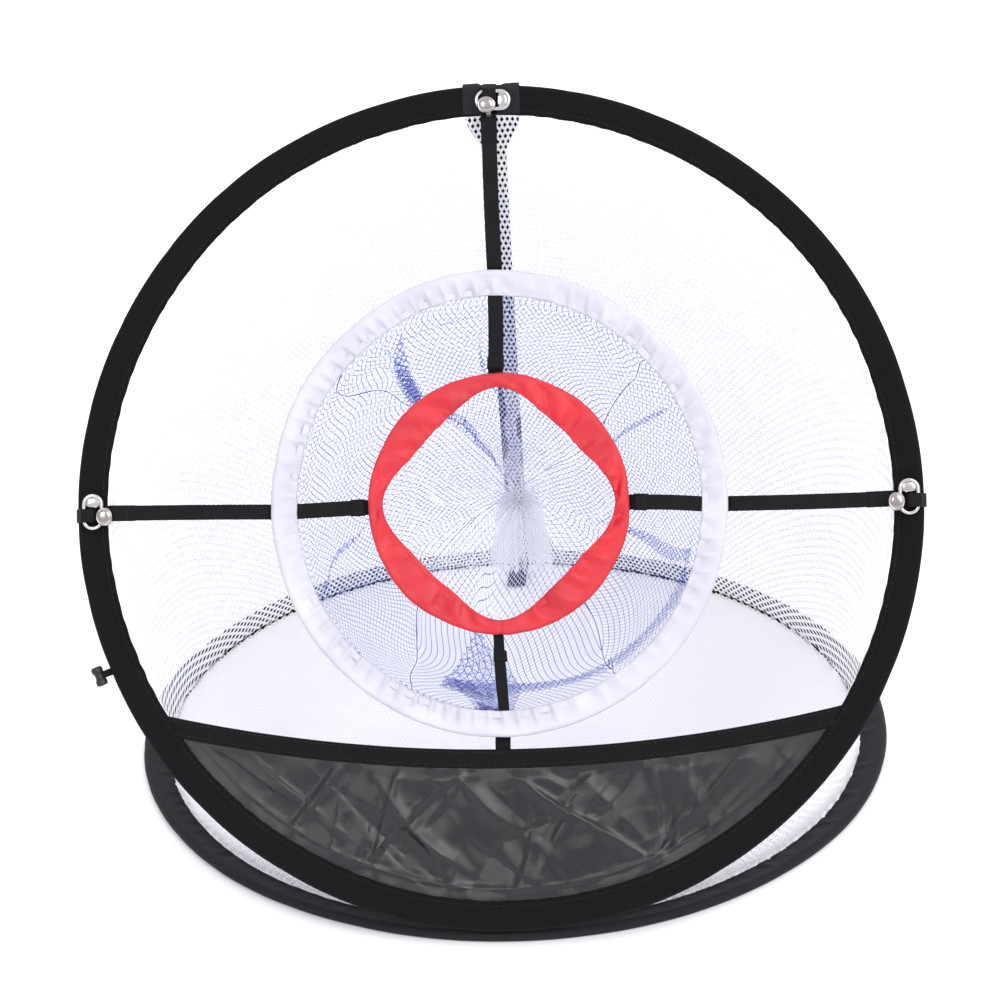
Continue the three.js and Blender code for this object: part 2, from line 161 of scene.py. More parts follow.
# ---------------------------------------------------------------- meshes
class Part:
    """Collects points and faces in millimetres and builds one mesh object in metres."""

    def __init__(self):
        self.points, self.faces, self.count, self.tags = [], [], 0, []

    def add(self, points, faces, uv=None, mat=0, tag=None):
        points = np.asarray(points, float).reshape(-1, 3)
        faces = np.asarray(faces, int)
        if uv is None:
            uv = np.zeros(faces.shape + (2,))
        self.points.append(points)
        self.tags.append(np.zeros(len(points)) if tag is None else np.asarray(tag, float).ravel())
        self.faces.append((faces + self.count, np.asarray(uv, float), mat))
        self.count += len(points)

    def grid(self, p, u, v, loop=(False, False), tag=None, flip=False):
        """Quads over a grid of points. u and v are cloth coordinates, one longer where the grid loops."""
        nu, nv = p.shape[:2]
        i, j = np.meshgrid(np.arange(nu - (not loop[0])), np.arange(nv - (not loop[1])), indexing="ij")
        i, j = i.ravel(), j.ravel()
        i2, j2 = (i + 1) % nu, (j + 1) % nv
        faces = np.stack([i * nv + j, i2 * nv + j, i2 * nv + j2, i * nv + j2], -1)
        uv = np.stack([np.stack([u[a], v[b]], -1) for a, b in ((i, j), (i + 1, j), (i + 1, j + 1), (i, j + 1))], 1)
        if flip:
            faces, uv = faces[:, ::-1], uv[:, ::-1]
        self.add(p, faces, uv, 0, tag)

    def cap(self, ring, tag=None, flip=False):
        """A fan that closes a ring of points."""
        n = len(ring)
        centre = ring.mean(0)
        i = np.arange(n)
        faces = np.stack([np.full(n, n), i, (i + 1) % n], -1)
        if flip:
            faces = faces[:, ::-1]
        tags = None if tag is None else np.r_[tag, np.mean(tag)]
        self.add(np.vstack([ring, centre]), faces, None, 0, tags)

    def build(self, name, *materials):
        points = np.vstack(self.points) * MM
        mesh = bpy.data.meshes.new(name)
        mesh.vertices.add(len(points))
        mesh.vertices.foreach_set("co", points.astype(np.float32).ravel())
        loops = np.concatenate([f.ravel() for f, _, _ in self.faces])
        sizes = np.concatenate([np.full(len(f), f.shape[1]) for f, _, _ in self.faces])
        mesh.loops.add(len(loops))
        mesh.loops.foreach_set("vertex_index", loops.astype(np.int32))
        mesh.polygons.add(len(sizes))
        mesh.polygons.foreach_set("loop_start", np.r_[0, sizes.cumsum()[:-1]].astype(np.int32))
        ids = np.concatenate([np.full(len(f), m) for f, _, m in self.faces])
        mesh.polygons.foreach_set("material_index", ids.astype(np.int32))
        mesh.polygons.foreach_set("use_smooth", np.ones(len(sizes), bool))
        uv = np.concatenate([c.reshape(-1, 2) for _, c, _ in self.faces]) * MM
        mesh.uv_layers.new(name="cloth").uv.foreach_set("vector", uv.astype(np.float32).ravel())
        mesh.update(calc_edges=True)
        mesh.validate()
        for m in materials:
            mesh.materials.append(m)
        obj = bpy.data.objects.new(name, mesh)
        bpy.context.scene.collection.objects.link(obj)
        return obj


def stitches(part, curve, normal, length, gap, radius, tag=None):
    """A row of small domed stitches along a curve."""
    along = measure(curve)
    count = int(along[-1] / (length + gap))
    if count < 1:
        return
    centre = (np.arange(count) + 0.5) * along[-1] / count
    rows = []
    for offset, r in ((-0.5, 0.3), (-0.36, 0.85), (0, 1.0), (0.36, 0.85), (0.5, 0.3)):
        where = centre + offset * length
        c, n = sample(curve, along, where), unit(sample(normal, along, where))
        ahead = sample(curve, along, where + 0.1) - sample(curve, along, where - 0.1)
        side = unit(np.cross(ahead, n))
        rows.append([c + radius * r * (side * x + n * (y + 0.1))
                     for x, y in ((1, -0.5), (0.55, 0.75), (-0.55, 0.75), (-1, -0.5))])
    points = np.array(rows).transpose(2, 0, 1, 3)
    quads = [[s * 4 + k, s * 4 + (k + 1) % 4, s * 4 + 4 + (k + 1) % 4, s * 4 + 4 + k]
             for s in range(4) for k in range(4)] + [[3, 2, 1, 0], [16, 17, 18, 19]]
    faces = (np.array(quads)[None] + 20 * np.arange(count)[:, None, None]).reshape(-1, 4)
    tags = None if tag is None else np.repeat(np.interp(centre, along, tag), 20)
    part.add(points, faces, None, 1, tags)


def sweep(part, path, side, out, section, tag=None, width=None):
    """Sweeps a closed section of (across, out) points along a path. width scales it at each station."""
    scale = np.ones(len(path)) if width is None else width
    sec = np.asarray(section, float)
    p = (path[:, None] + side[:, None] * (sec[None, :, :1] * scale[:, None, None])
         + out[:, None] * sec[None, :, 1:])
    tags = None if tag is None else np.repeat(tag, len(sec)).reshape(p.shape[:2])
    part.grid(p, measure(path), measure(sec, True), (False, True), tags)
    for end in (0, -1):
        part.cap(p[end], None if tag is None else tags[end], end < 0)


def ribbed(width, thick, ribs, depth=0.14):
    """Section of a woven tape with ribs along it and soft edges."""
    top = []
    half = width / 2 - thick * 0.35
    for x in np.linspace(-half, half, ribs * 4 + 1):
        phase = (x + half) / (2 * half) * ribs
        top.append((x, thick / 2 - depth + depth * abs(math.sin(math.pi * phase))))
    edge = [(width / 2 - 0.05, thick * 0.22), (width / 2, 0), (width / 2 - 0.05, -thick * 0.22)]
    bottom = [(-x, -y) for x, y in top]
    return top + edge + bottom + [(-x, -y) for x, y in edge]


def lathe(part, profile, place, steps=48):
    """Turns (radius, height) points round an axis. place maps local x, y, z to the shared frame."""
    a = around(steps)[:, None]
    r, z = profile[None, :, 0], profile[None, :, 1]
    u = np.linspace(0, 2 * math.pi * r.max(), steps + 1)
    part.grid(place(r * np.cos(a), r * np.sin(a), z + 0 * a), u, measure(profile), (True, False))


# ---------------------------------------------------------------- materials
def linear(colour):
    """Linear colour from display values 0 to 255."""
    return [((c / 255 + 0.055) / 1.055) ** 2.4 if c > 10 else c / 255 / 12.92 for c in colour] + [1]


class Nodes:
    """Short names for building a node material. An input is a socket or a plain value."""

    def __init__(self, name):
        self.mat = bpy.data.materials.new(name)
        self.mat.use_nodes = True
        self.tree = self.mat.node_tree
        self.shader = self.tree.nodes["Principled BSDF"]

    def link(self, source, target):
        if hasattr(source, "is_output"):
            self.tree.links.new(source, target)
        else:
            target.default_value = source

    def new(self, kind, inputs=(), out=0, **values):
        """A node with its settings and inputs. Returns one of its outputs."""
        node = self.tree.nodes.new(kind)
        for key, value in values.items():
            setattr(node, key, value)
        for key, value in dict(inputs).items():
            self.link(value, node.inputs[key])
        return node.outputs[out]

    def math(self, operation, a, b=0.0, clamp=False):
        return self.new("ShaderNodeMath", {0: a, 1: b}, operation=operation, use_clamp=clamp)

    def total(self, *terms, clamp=False):
        """The sum of values with their weights."""
        parts = [self.math("MULTIPLY", value, weight) for value, weight in terms]
        while len(parts) > 1:
            parts[:2] = [self.math("ADD", *parts[:2], clamp and len(parts) == 2)]
        return parts[0]

    def coords(self, kind="cloth", scale=(1, 1, 1), turn=0.0):
        if kind == "cloth":
            source = self.new("ShaderNodeUVMap", uv_map="cloth")
        else:
            source = self.new("ShaderNodeTexCoord", out="Object")
        return self.new("ShaderNodeMapping", {0: source, "Rotation": (0, 0, turn), "Scale": scale})

    def noise(self, vector, scale, detail, rough=0.55):
        inputs = {"Vector": vector, "Scale": scale, "Detail": detail, "Roughness": rough}
        return self.new("ShaderNodeTexNoise", inputs, "Fac")

    def mix(self, share, a, b):
        a, b = [c if hasattr(c, "is_output") else linear(c) for c in (a, b)]
        return self.new("ShaderNodeMix", {"Factor": share, "A": a, "B": b}, "Result", data_type="RGBA")

    def span(self, value, low, high):
        return self.new("ShaderNodeMapRange", {"Value": value, "To Min": low, "To Max": high}, "Result")

    def wave(self, vector, axis, pitch):
        """A sine along one axis, with yarns a pitch wide in metres."""
        split = self.new("ShaderNodeSeparateXYZ", {0: vector}, axis)
        return self.math("SINE", self.math("MULTIPLY", split, math.pi / pitch))

    def weave(self, vector, warp, weft):
        return self.math("MULTIPLY", self.wave(vector, 0, warp), self.wave(vector, 1, weft))

    def ribs(self, vector, axis, pitch):
        return self.math("ABSOLUTE", self.wave(vector, axis, pitch))

    def bump(self, height, distance, strength, below=None):
        inputs = {"Height": height, "Distance": distance, "Strength": strength}
        return self.new("ShaderNodeBump", inputs if below is None else {**inputs, "Normal": below})

    def finish(self, colour, rough, normal, **fixed):
        for key, value in (("Base Color", colour), ("Roughness", rough), ("Normal", normal)):
            self.link(value, self.shader.inputs[key])
        for key, value in fixed.items():
            self.shader.inputs[key.replace("_", " ")].default_value = value
        return self.mat


def woven(name, dark, light, yarn, rough, depth, sheen, spec):
    """Plain woven cloth with a little dust, worn yarns and uneven dye."""
    n = Nodes(name)
    place = n.coords("object")
    height = n.weave(n.coords(), *yarn)
    blotch, fuzz = n.noise(place, 60, 4), n.noise(place, 2600, 2, 0.7)
    colour = n.mix(n.total((height, 0.22), (blotch, 0.6), (fuzz, 0.4), clamp=True), dark, light)
    bump = n.bump(fuzz, depth * 0.6, 0.4, n.bump(height, depth, 0.7))
    return n.finish(colour, n.span(n.total((blotch, 0.6), (fuzz, 0.4)), rough - 0.1, rough + 0.12), bump,
                    Sheen_Weight=sheen, Sheen_Roughness=0.4, Specular_IOR_Level=spec)


def tape(name, dark, light, weft, rough, depth, spec, sheen):
    """Webbing: wefts across a ribbed tape, with a slight herringbone and fuzz."""
    n = Nodes(name)
    place = n.coords("object")
    twill = n.ribs(n.coords(turn=math.radians(35)), 0, weft * 1.7)
    fuzz, blotch = n.noise(place, 1900, 3, 0.7), n.noise(place, 90, 3)
    height = n.total((n.ribs(n.coords(), 0, weft), 0.7), (twill, 0.3))
    share = n.math("MULTIPLY", n.math("ADD", height, fuzz), n.span(blotch, 0.35, 0.75), True)
    bump = n.bump(fuzz, depth * 0.5, 0.4, n.bump(height, depth, 0.7))
    return n.finish(n.mix(share, dark, light), n.span(fuzz, rough - 0.08, rough + 0.12), bump,
                    Specular_IOR_Level=spec, Sheen_Weight=sheen, Sheen_Roughness=0.45)


def satin(name, deep, base, light):
    """Glossy sleeve cloth: long floats across, with painted sheen as lighter streaks along them, over soft
    blotches of deeper dye.
    """
    n = Nodes(name)
    floats = n.noise(n.coords(scale=(1, 9, 1)), 900, 2, 0.6)
    blotch = n.noise(n.coords("object"), 38, 3)
    # painted sheen: the colour runs to the light shade along the floats, where the blotches are high
    painted_sheen_streaks = n.math("MULTIPLY", n.span(floats, 0, 0.6), n.span(blotch, 0.3, 1.0))
    colour = n.mix(painted_sheen_streaks, n.mix(n.span(blotch, 0.0, 1.0), deep, base), light)
    bump = n.bump(n.weave(n.coords(), 0.00042, 0.0003), 0.00004, 0.5, n.bump(floats, 0.00010, 0.5))
    return n.finish(colour, n.span(n.total((floats, 0.5), (blotch, 0.5)), 0.30, 0.56), bump,
                    Sheen_Weight=0.25, Sheen_Roughness=0.3, Specular_IOR_Level=0.45)


def yarn(name, deep, base, light, rough, through):
    """Net thread: twisted fibres with uneven dye, that let some light through."""
    n = Nodes(name)
    place = n.coords("object")
    twist = n.ribs(n.coords(turn=math.radians(40)), 0, 0.00022)
    blotch, fine = n.noise(place, 45, 3), n.noise(place, 900, 2)
    share = n.total((twist, 0.35), (fine, 0.5), clamp=True)
    colour = n.mix(blotch, n.mix(share, deep, base), n.mix(share, base, light))
    n.finish(colour, n.span(fine, rough - 0.1, rough + 0.15), n.bump(n.math("ADD", twist, fine), 0.00008, 0.5),
             Specular_IOR_Level=0.35, Sheen_Weight=0.1)
    glow = n.new("ShaderNodeBsdfTranslucent", {"Color": colour})
    both = n.new("ShaderNodeMixShader", {0: through, 1: n.shader.outputs[0], 2: glow})
    n.link(both, n.tree.nodes["Material Output"].inputs["Surface"])
    return n.mat


def metal(name, colour, dull, rough, grain=(1, 1, 1)):
    """Metal with fine drawn marks, faint stains and small dents."""
    n = Nodes(name)
    marks = n.noise(n.coords("object", grain), 900, 4, 0.6)
    stain = n.noise(n.coords("object"), 140, 4)
    bump = n.bump(marks, 0.00002, 0.4, n.bump(stain, 0.00008, 0.15))
    return n.finish(n.mix(n.span(stain, 0, 0.7), colour, dull), n.span(marks, rough * 0.7, rough * 1.6), bump,
                    Metallic=1.0)


def moulded(name, dark, light, rough):
    """Moulded plastic with a fine grain, and paler scuffs."""
    n = Nodes(name)
    place = n.coords("object")
    grain, scuff = n.noise(place, 2200, 3, 0.7), n.noise(place, 260, 5, 0.65)
    return n.finish(n.mix(n.span(scuff, 0, 0.8), dark, light), n.span(grain, rough - 0.1, rough + 0.15),
                    n.bump(grain, 0.00006, 0.5), Specular_IOR_Level=0.45)


def nylon(name, dark, light):
    """Coated nylon: a fine weave with a grid of heavier yarns, patchy in its gloss."""
    n = Nodes(name)
    uv = n.coords()
    heavy = n.math("MAXIMUM", *[n.math("POWER", n.ribs(uv, axis, 0.0046), 24) for axis in (0, 1)])
    slub, blotch = n.noise(n.coords(scale=(1, 14, 1)), 260, 3, 0.6), n.noise(n.coords("object"), 22, 4)
    colour = n.mix(n.total((blotch, 0.6), (slub, 0.35), clamp=True), dark, light)
    below = n.bump(slub, 0.00012, 0.5, n.bump(heavy, 0.00006, 0.3))
    return n.finish(colour, n.span(n.total((slub, 0.5), (blotch, 0.5)), 0.12, 0.23),
                    n.bump(n.weave(uv, 0.00055, 0.00055), 0.00006, 0.5, below),
                    Specular_IOR_Level=0.5, Sheen_Weight=0.02, Sheen_Roughness=0.3)


M = dict(
    sleeve=woven("black_sleeve_cloth", (3, 3, 4), (17, 16, 19), (0.00075, 0.0006), 0.75, 0.00014, 0.01, 0.12),
    base=woven("floor_sleeve_cloth", (7, 7, 9), (34, 34, 39), (0.00075, 0.0006), 0.7, 0.00014, 0.03, 0.22),
    binding=tape("binding_tape", (3, 3, 4), (18, 17, 20), 0.0007, 0.78, 0.00016, 0.14, 0.01),
    webbing=tape("spine_webbing", (3, 3, 4), (16, 16, 18), 0.0011, 0.7, 0.00016, 0.12, 0.01),
    elastic=tape("elastic_strap", (4, 4, 5), (22, 21, 25), 0.0009, 0.7, 0.00016, 0.14, 0.01),
    thread=tape("black_thread", (10, 10, 12), (44, 43, 48), 0.0003, 0.5, 0.0001, 0.25, 0.02),
    panel=nylon("pocket_nylon", (4, 3, 6), (20, 17, 26)),
    white=satin("white_satin", (166, 164, 180), (196, 194, 205), (215, 214, 222)),
    red=satin("red_satin", (140, 7, 22), (200, 18, 36), (232, 54, 70)),
    white_thread=yarn("white_sewing_thread", (196, 194, 210), (218, 216, 228), (232, 231, 240), 0.5, 0.1),
    red_thread=yarn("red_sewing_thread", (140, 8, 22), (186, 16, 32), (214, 50, 64), 0.5, 0.1),
    wall=yarn("white_net_yarn", (240, 239, 247), (249, 249, 253), (255, 255, 255), 0.5, 0.25),
    # The floor's and the pouch's copies of the white net yarn are whiter than the wall's: painted light that lifts
    # the shade inside the tent and in the pouch's own folds.
    floor=yarn("floor_net_yarn_painted_light", (250, 250, 254), (254, 254, 255), (255, 255, 255), 0.5, 0.5),
    pouch=yarn("white_pouch_yarn_painted_light", (246, 246, 252), (251, 251, 254), (255, 255, 255), 0.5, 0.4),
    blue=yarn("blue_net_yarn", (12, 44, 156), (34, 78, 204), (82, 126, 228), 0.42, 0.3),
    nickel=metal("nickel_plate", (206, 202, 204), (160, 154, 156), 0.16),
    # painted reflection: the stud's nickel is darker and browner than the plate's, standing in for dark
    # surroundings mirrored in its domed face
    stud=metal("stud_nickel_painted_reflection", (176, 170, 168), (132, 124, 122), 0.17),
    spring=metal("spring_steel", (150, 152, 156), (112, 113, 118), 0.3, (1, 1, 8)),
    ferrule=metal("ferrule_steel", (176, 177, 182), (138, 138, 144), 0.26, (6, 6, 1)),
    plastic=moulded("toggle_plastic", (6, 6, 7), (26, 26, 28), 0.42),
)


# ---------------------------------------------------------------- sleeves
def sleeve_outline(band, bulge, lip, groove=2.6):
    """A folded tape round the wire, both raw edges turned in: (inward, out) points, front edge first."""
    g = band - groove
    front_side = [(band - 4.5, 0.16), (band - 1.2, 0.2), (band - 0.15, 0.34), (band, lip * 0.62),
                  (band - 0.35, lip * 0.98), (g + 0.7, lip * 1.0), (g, lip * 0.86), (g - 0.8, lip * 1.08)]
    tangent = 75
    round_wire = arc(bulge, 0, bulge, tangent, 360 - tangent, 12)
    back_side = [(s, -n) for s, n in reversed(front_side)]
    return front_side + round_wire + back_side


def base_outline():
    """The floor sleeve: flat underneath, its sewn edge lying inwards."""
    top = [(BAND - 4.5, 1.7), (BAND - 1.2, 1.75), (BAND - 0.15, 1.95), (BAND, 2.3), (BAND - 0.4, 2.75),
           (BAND - 1.9, 2.78), (BAND - 2.6, 2.6), (BAND - 3.4, 2.95)]
    round_wire = arc(BULGE, BULGE, BULGE, 75, 262, 12)
    bottom = [(6.0, 0.05), (11.0, 0.12), (BAND - 3.4, 0.15), (BAND - 2.6, 0.3), (BAND - 1.9, 0.14),
              (BAND - 0.4, 0.16), (BAND, 0.5), (BAND - 0.15, 0.85), (BAND - 1.2, 1.0), (BAND - 4.5, 1.05)]
    return top + round_wire + bottom


def circle_place(radius, to_row):
    return lambda turn, s, n: to_row((radius - s) * np.cos(turn), (radius - s) * np.sin(turn), n)


def flat_place(x, y, n):
    x, y, n = np.broadcast_arrays(x, y, n)
    return np.stack([x, BASE_Y + y, n], -1)


def oval_place(turn, s, n):
    return front((WHITE["a"] - s) * np.cos(turn), WHITE["up"] + (WHITE["b"] - s) * np.sin(turn), n)


def opening(turn):
    """Edge of the red ring's opening: four straight sides with blunt corners."""
    side = RED["side"] / (np.abs(np.cos(turn)) + np.abs(np.sin(turn)))
    return (side ** -16.0 + RED["reach"] ** -16.0) ** (-1 / 16)


def red_inward(turn, s):
    """Stretches the red band in to the edge of its diamond opening."""
    wide = RED["a"] - opening(turn)
    start = 2 * RED["bulge"]
    share = np.maximum(0, s - start) / (RED["band"] - start)
    return np.minimum(s, start) + share * (wide - start)


def red_place(turn, s, n):
    r = RED["a"] - red_inward(turn, s)
    return front(r * np.cos(turn), RED["up"] + r * np.sin(turn), n)


def sleeve(name, outline, place, radius, band, segs, pucker, sag, seed, mats, floor=False, line=2.6,
           stitch=(2.6, 0.95, 0.22), joint=None):
    """A sewn sleeve. pucker is the gathering at the seam and sag the slack between, in millimetres. line is how
    far in from the edge its stitches run, and joint the bearing where the cloth's ends overlap."""
    count = 44
    sec = spline(outline, count)
    nrm = outward(sec)
    turn = around(segs)[:, None]
    s, n = sec[None, :, 0], sec[None, :, 1]
    side = np.where(np.arange(count) < count / 2, 0, 1)[None, :]
    seam = smooth(s, band * 0.28, band * 0.95)
    waves = pucker["waves"]
    folds = np.where(side == 0, ripple(turn, seed, *waves), ripple(turn, seed + 1, *waves))
    sharp = np.where(side == 0, ripple(turn + 0.02 * s / band, seed + 2, *pucker["long"]),
                     ripple(turn - 0.02 * s / band, seed + 3, *pucker["long"]))
    slack = ripple(turn + 0.012 * s, seed + 4, 6, 26)
    inner = smooth(band - s, 0.0, 1.4)
    lift = (pucker["size"] * seam * folds * (0.35 + 0.65 * inner)
            + pucker["fold"] * (crease(sharp) - 0.45) * smooth(s, band * 0.15, band * 0.7) * inner
            + sag * slack * smooth(s, 1.0, 6.0) * inner)
    if joint is not None:
        off = np.angle(np.exp(1j * (turn - joint))) * radius
        lift = lift - 0.55 * np.exp(-(off / 0.7) ** 2) + 0.35 * smooth(off, 0.4, 1.2) * smooth(-off, -9, -8)
    edge = np.zeros(count)
    edge[:4], edge[-4:] = 1, 1
    lift = lift * (1 - edge)[None] + 0.4 * pucker["size"] * folds * edge[None] * np.where(side == 0, 1, -1)
    if floor:
        lift = np.where(n < 0.6, np.abs(lift) * 0.12 * np.sign(-nrm[None, :, 1]), lift)
    wobble = 0.35 * ripple(turn, seed + 5, 3, 12) + 0.22 * crease(ripple(turn, seed + 6, 9, 22))
    s2 = s + lift * nrm[None, :, 0] + wobble * smooth(s + 4, 0, 4)
    n2 = n + lift * nrm[None, :, 1]
    if floor:
        n2 = np.maximum(n2, 0.03)
    p = place(turn, s2, n2)
    part = Part()
    u = np.linspace(0, 2 * math.pi * radius, segs + 1)
    part.grid(p, u, measure(sec), (True, False), flip=True)
    closed = np.concatenate([p, p[:1]])
    across = np.gradient(closed, axis=1)
    along = np.gradient(closed, axis=0)
    normal = unit(np.cross(along, across))
    away = closed - closed.mean(axis=1, keepdims=True)
    normal = normal * np.sign((normal * away).sum(-1).mean())
    goal = band - line
    for front_side in (True, False):
        columns = np.nonzero((np.abs(sec[:, 0] - goal) < 0.6) & ((np.arange(count) < count / 2) == front_side)
                             & (np.abs(sec[:, 1] - sec[:, 1].mean()) > 0.35))[0]
        if len(columns):
            j = columns[np.argmin(np.abs(sec[columns, 0] - goal))]
            stitches(part, closed[:, j], normal[:, j], *stitch)
    return part.build(name, *mats)


hoop_pucker = dict(size=0.45, fold=0.8, waves=(90, 150), long=(30, 64))
ring_pucker = dict(size=0.9, fold=2.9, waves=(44, 84), long=(22, 46))
red_pucker = dict(size=0.45, fold=2.6, waves=(30, 60), long=(6, 18))
BLACK, FLOOR = (M["sleeve"], M["thread"]), (M["base"], M["thread"])
front_sleeve = sleeve(
    "front_hoop_sleeve_cloth", sleeve_outline(BAND, BULGE, 1.35), circle_place(FRONT_R, front),
    FRONT_R, BAND, 900, hoop_pucker, 0.28, 11, BLACK)
base_sleeve = sleeve(
    "base_hoop_sleeve_cloth", base_outline(), circle_place(BASE_R, flat_place),
    BASE_R, BAND, 900, hoop_pucker, 0.25, 31, FLOOR, floor=True)
white_sleeve = sleeve(
    "white_ring_sleeve_cloth", sleeve_outline(WHITE["band"], WHITE["bulge"], 1.1), oval_place,
    WHITE["a"], WHITE["band"], 720, ring_pucker, 0.9, 51, (M["white"], M["white_thread"]),
    line=2.2, stitch=(2.2, 0.9, 0.2))
red_sleeve = sleeve(
    "red_ring_sleeve_cloth", sleeve_outline(RED["band"], RED["bulge"], 0.95, 2.2), red_place,
    RED["a"], RED["band"], 560, red_pucker, 1.0, 71, (M["red"], M["red_thread"]),
    line=2.0, stitch=(2.1, 0.9, 0.18), joint=-math.pi / 2)


# ---------------------------------------------------------------- nets
def net(name, place, columns, rows, pitch, row, half, material, keep=None, loop=False, origin=(0.0, 0.0),
        fan=None, stagger=0.0, thicker=None, stretched=False, cords=()):
    """A net of threads: a small square at each crossing and a ribbon to each neighbour above.
    Threads keep their own width wherever the cloth is gathered, unless they are stretched with it."""
    j = np.arange(rows)[:, None]
    i = np.arange(columns)[None, :]
    x = origin[0] + (i + 0.5 * (j % 2)) * pitch
    y = origin[1] + j * row + 0.0 * i
    ok = np.ones(x.shape, bool) if keep is None else keep(x, y)
    number = np.full(ok.shape, -1)
    number[ok] = np.arange(ok.sum())
    x, y = x[ok], y[ok]
    step = 0.3
    centre = place(x, y)
    ex = unit(place(x + step, y) - place(x - step, y))
    ey = unit(place(x, y + step) - place(x, y - step))
    if stagger:
        rng = np.random.default_rng(columns)
        centre = centre + unit(np.cross(ex, ey)) * rng.uniform(-stagger, stagger, len(x))[:, None]
    hx, hy = half
    if stretched:
        points = np.stack([place(x - hx, y), place(x, y - hy), place(x + hx, y), place(x, y + hy)], 1)
    else:
        grow = 1.0 if thicker is None else thicker(x, y)[:, None]
        ex, ey = ex * hx * grow, ey * hy * grow
        points = np.stack([centre - ex, centre - ey, centre + ex, centre + ey], 1)
    corners = ((-1, 0), (0, -1), (1, 0), (0, 1))
    flat = np.stack([np.stack([x + a * hx, y + b * hy], -1) for a, b in corners], 1)
    west, south, east, north = 0, 1, 2, 3
    quads = [4 * number[ok][:, None] + np.arange(4)]
    for aside, (p, q, r, t) in ((0, (north, east, south, west)), (-1, (west, north, east, south))):
        target = i + aside + j[:-1] % 2
        inside = np.ones(target.shape, bool) if loop else (target >= 0) & (target < columns)
        upper = np.take_along_axis(number[1:], target % columns, 1)
        good = inside & (upper >= 0) & (number[:-1] >= 0)
        low, high = 4 * number[:-1][good], 4 * upper[good]
        quads.append(np.stack([low + p, low + q, high + r, high + t], -1))
    faces = np.vstack(quads)
    # crossings without a ribbon are left out
    whole = np.zeros(len(points), bool)
    whole[np.vstack(quads[1:]) // 4] = True
    faces = faces[whole[faces[:, 0] // 4]]
    faces = 4 * (np.cumsum(whole) - 1)[faces // 4] + faces % 4
    points, flat = points[whole], flat[whole]
    part = Part()
    tags = None if fan is None else fan(flat[..., 0], flat[..., 1])
    part.add(points, faces, flat.reshape(-1, 2)[faces], 0, tags)
    radius = 0.32
    circle = [(radius * math.cos(t), radius * math.sin(t)) for t in around(8)]
    for path in cords:
        ahead = unit(np.gradient(path, axis=0))
        side = unit(np.cross(ahead, path - path.mean(0)))
        sweep(part, path, side, np.cross(side, ahead), circle)
    return part.build(name, material), part


BASE_SEAM, FRONT_SEAM = BASE_R - BAND - 1, FRONT_R - BAND - 0.8
RULE = unit(np.array([0.0, -math.sin(TILT / 2), math.cos(TILT / 2)]))


def seam_points(turn):
    """The wall's two seams: on the base sleeve and on the front sleeve."""
    c, s = np.cos(turn), np.sin(turn)
    low = np.stack([BASE_SEAM * c, BASE_Y + BASE_SEAM * s, np.full(c.shape, 2.6)], -1)
    return low, front(FRONT_SEAM * c, FRONT_SEAM * s, -1.85)


def wall_table():
    """For turns round the hoops: distance across the cloth, then each ruling's foot and length."""
    turn = np.linspace(-math.pi / 2, 1.5 * math.pi, 4001)
    low, high = seam_points(turn)
    step = np.diff(low, axis=0)
    step = step - (step @ RULE)[:, None] * RULE
    aside = np.abs(np.sin((turn[1:] + turn[:-1]) / 2))
    # the net is pulled wide at the two sides, so its columns are further apart there
    across = np.r_[0, (np.linalg.norm(step, axis=1) * (0.22 + 0.78 * aside ** 1.5)).cumsum()]
    return turn, across, low @ RULE, np.linalg.norm(high - low, axis=1)


table_turn, table_across, table_foot, table_length = wall_table()
WALL_WIDTH = table_across[-1]


def wall_share(across, height):
    """Turn, share of the way up and length of the ruling for a point of the flat cloth."""
    turn = np.interp(across, table_across, table_turn)
    foot = np.interp(across, table_across, table_foot)
    length = np.interp(across, table_across, table_length)
    return turn, (height - foot) / np.maximum(length, 1), length


def wall_at(turn, share, length, lift=0.0):
    """A point of the net wall with its slack, ends tucked into the sleeves. lift is outwards."""
    low, high = seam_points(turn)
    t = np.clip(share, 0, 1)[..., None]
    p = low + (high - low) * t
    tangent = np.stack([-np.sin(turn), np.cos(turn), 0 * turn], -1)
    out = unit(np.cross(tangent, RULE + 0 * tangent))
    t = t[..., 0]
    big = smooth(length, 40, 420)
    body = np.sin(math.pi * t)
    width = np.interp(turn, table_turn, table_across)
    up = t * length
    slack = (-7.0 * body ** 1.3 * big
             + 3.2 * big * body * crumple(width, up, 5, 150, 8, 0.25)
             + 2.4 * big * body * (crease(crumple(width, up * 0.35, 6, 90, 7, 0.1)) - 0.4)
             + 1.1 * smooth(length, 20, 120) * body * crumple(width, up, 7, 38, 9))
    seam = np.exp(-up / 16) + np.exp(-(length - up) / 16)
    gathers = (1 - np.exp(-np.minimum(up, length - up) / 4)) * np.sin(width / 3.1 + 2 * np.sin(width / 37))
    slack = slack + 0.9 * smooth(length, 20, 120) * seam * gathers
    p = p + out * (slack + lift)[..., None]
    over_low = np.clip(-share * length, 0, 6)[..., None]
    over_high = np.clip((share - 1) * length, 0, 6)[..., None]
    radial = np.stack([np.cos(turn), np.sin(turn), 0 * turn], -1)
    up_radial = np.cos(turn)[..., None] * ACROSS + np.sin(turn)[..., None] * UP
    p = p + radial * over_low - np.array([0, 0, 0.38]) * np.minimum(over_low, 3)
    return p + up_radial * over_high + OUT * 0.6 * np.minimum(over_high, 3)


def wall_place(across, height):
    return wall_at(*wall_share(across, height))


def wall_keep(across, height):
    _, share, length = wall_share(across, height)
    over = np.minimum(share, 1 - share) * length
    return (across > 0) & (across < WALL_WIDTH) & (length > 14) & (over > -3.4)


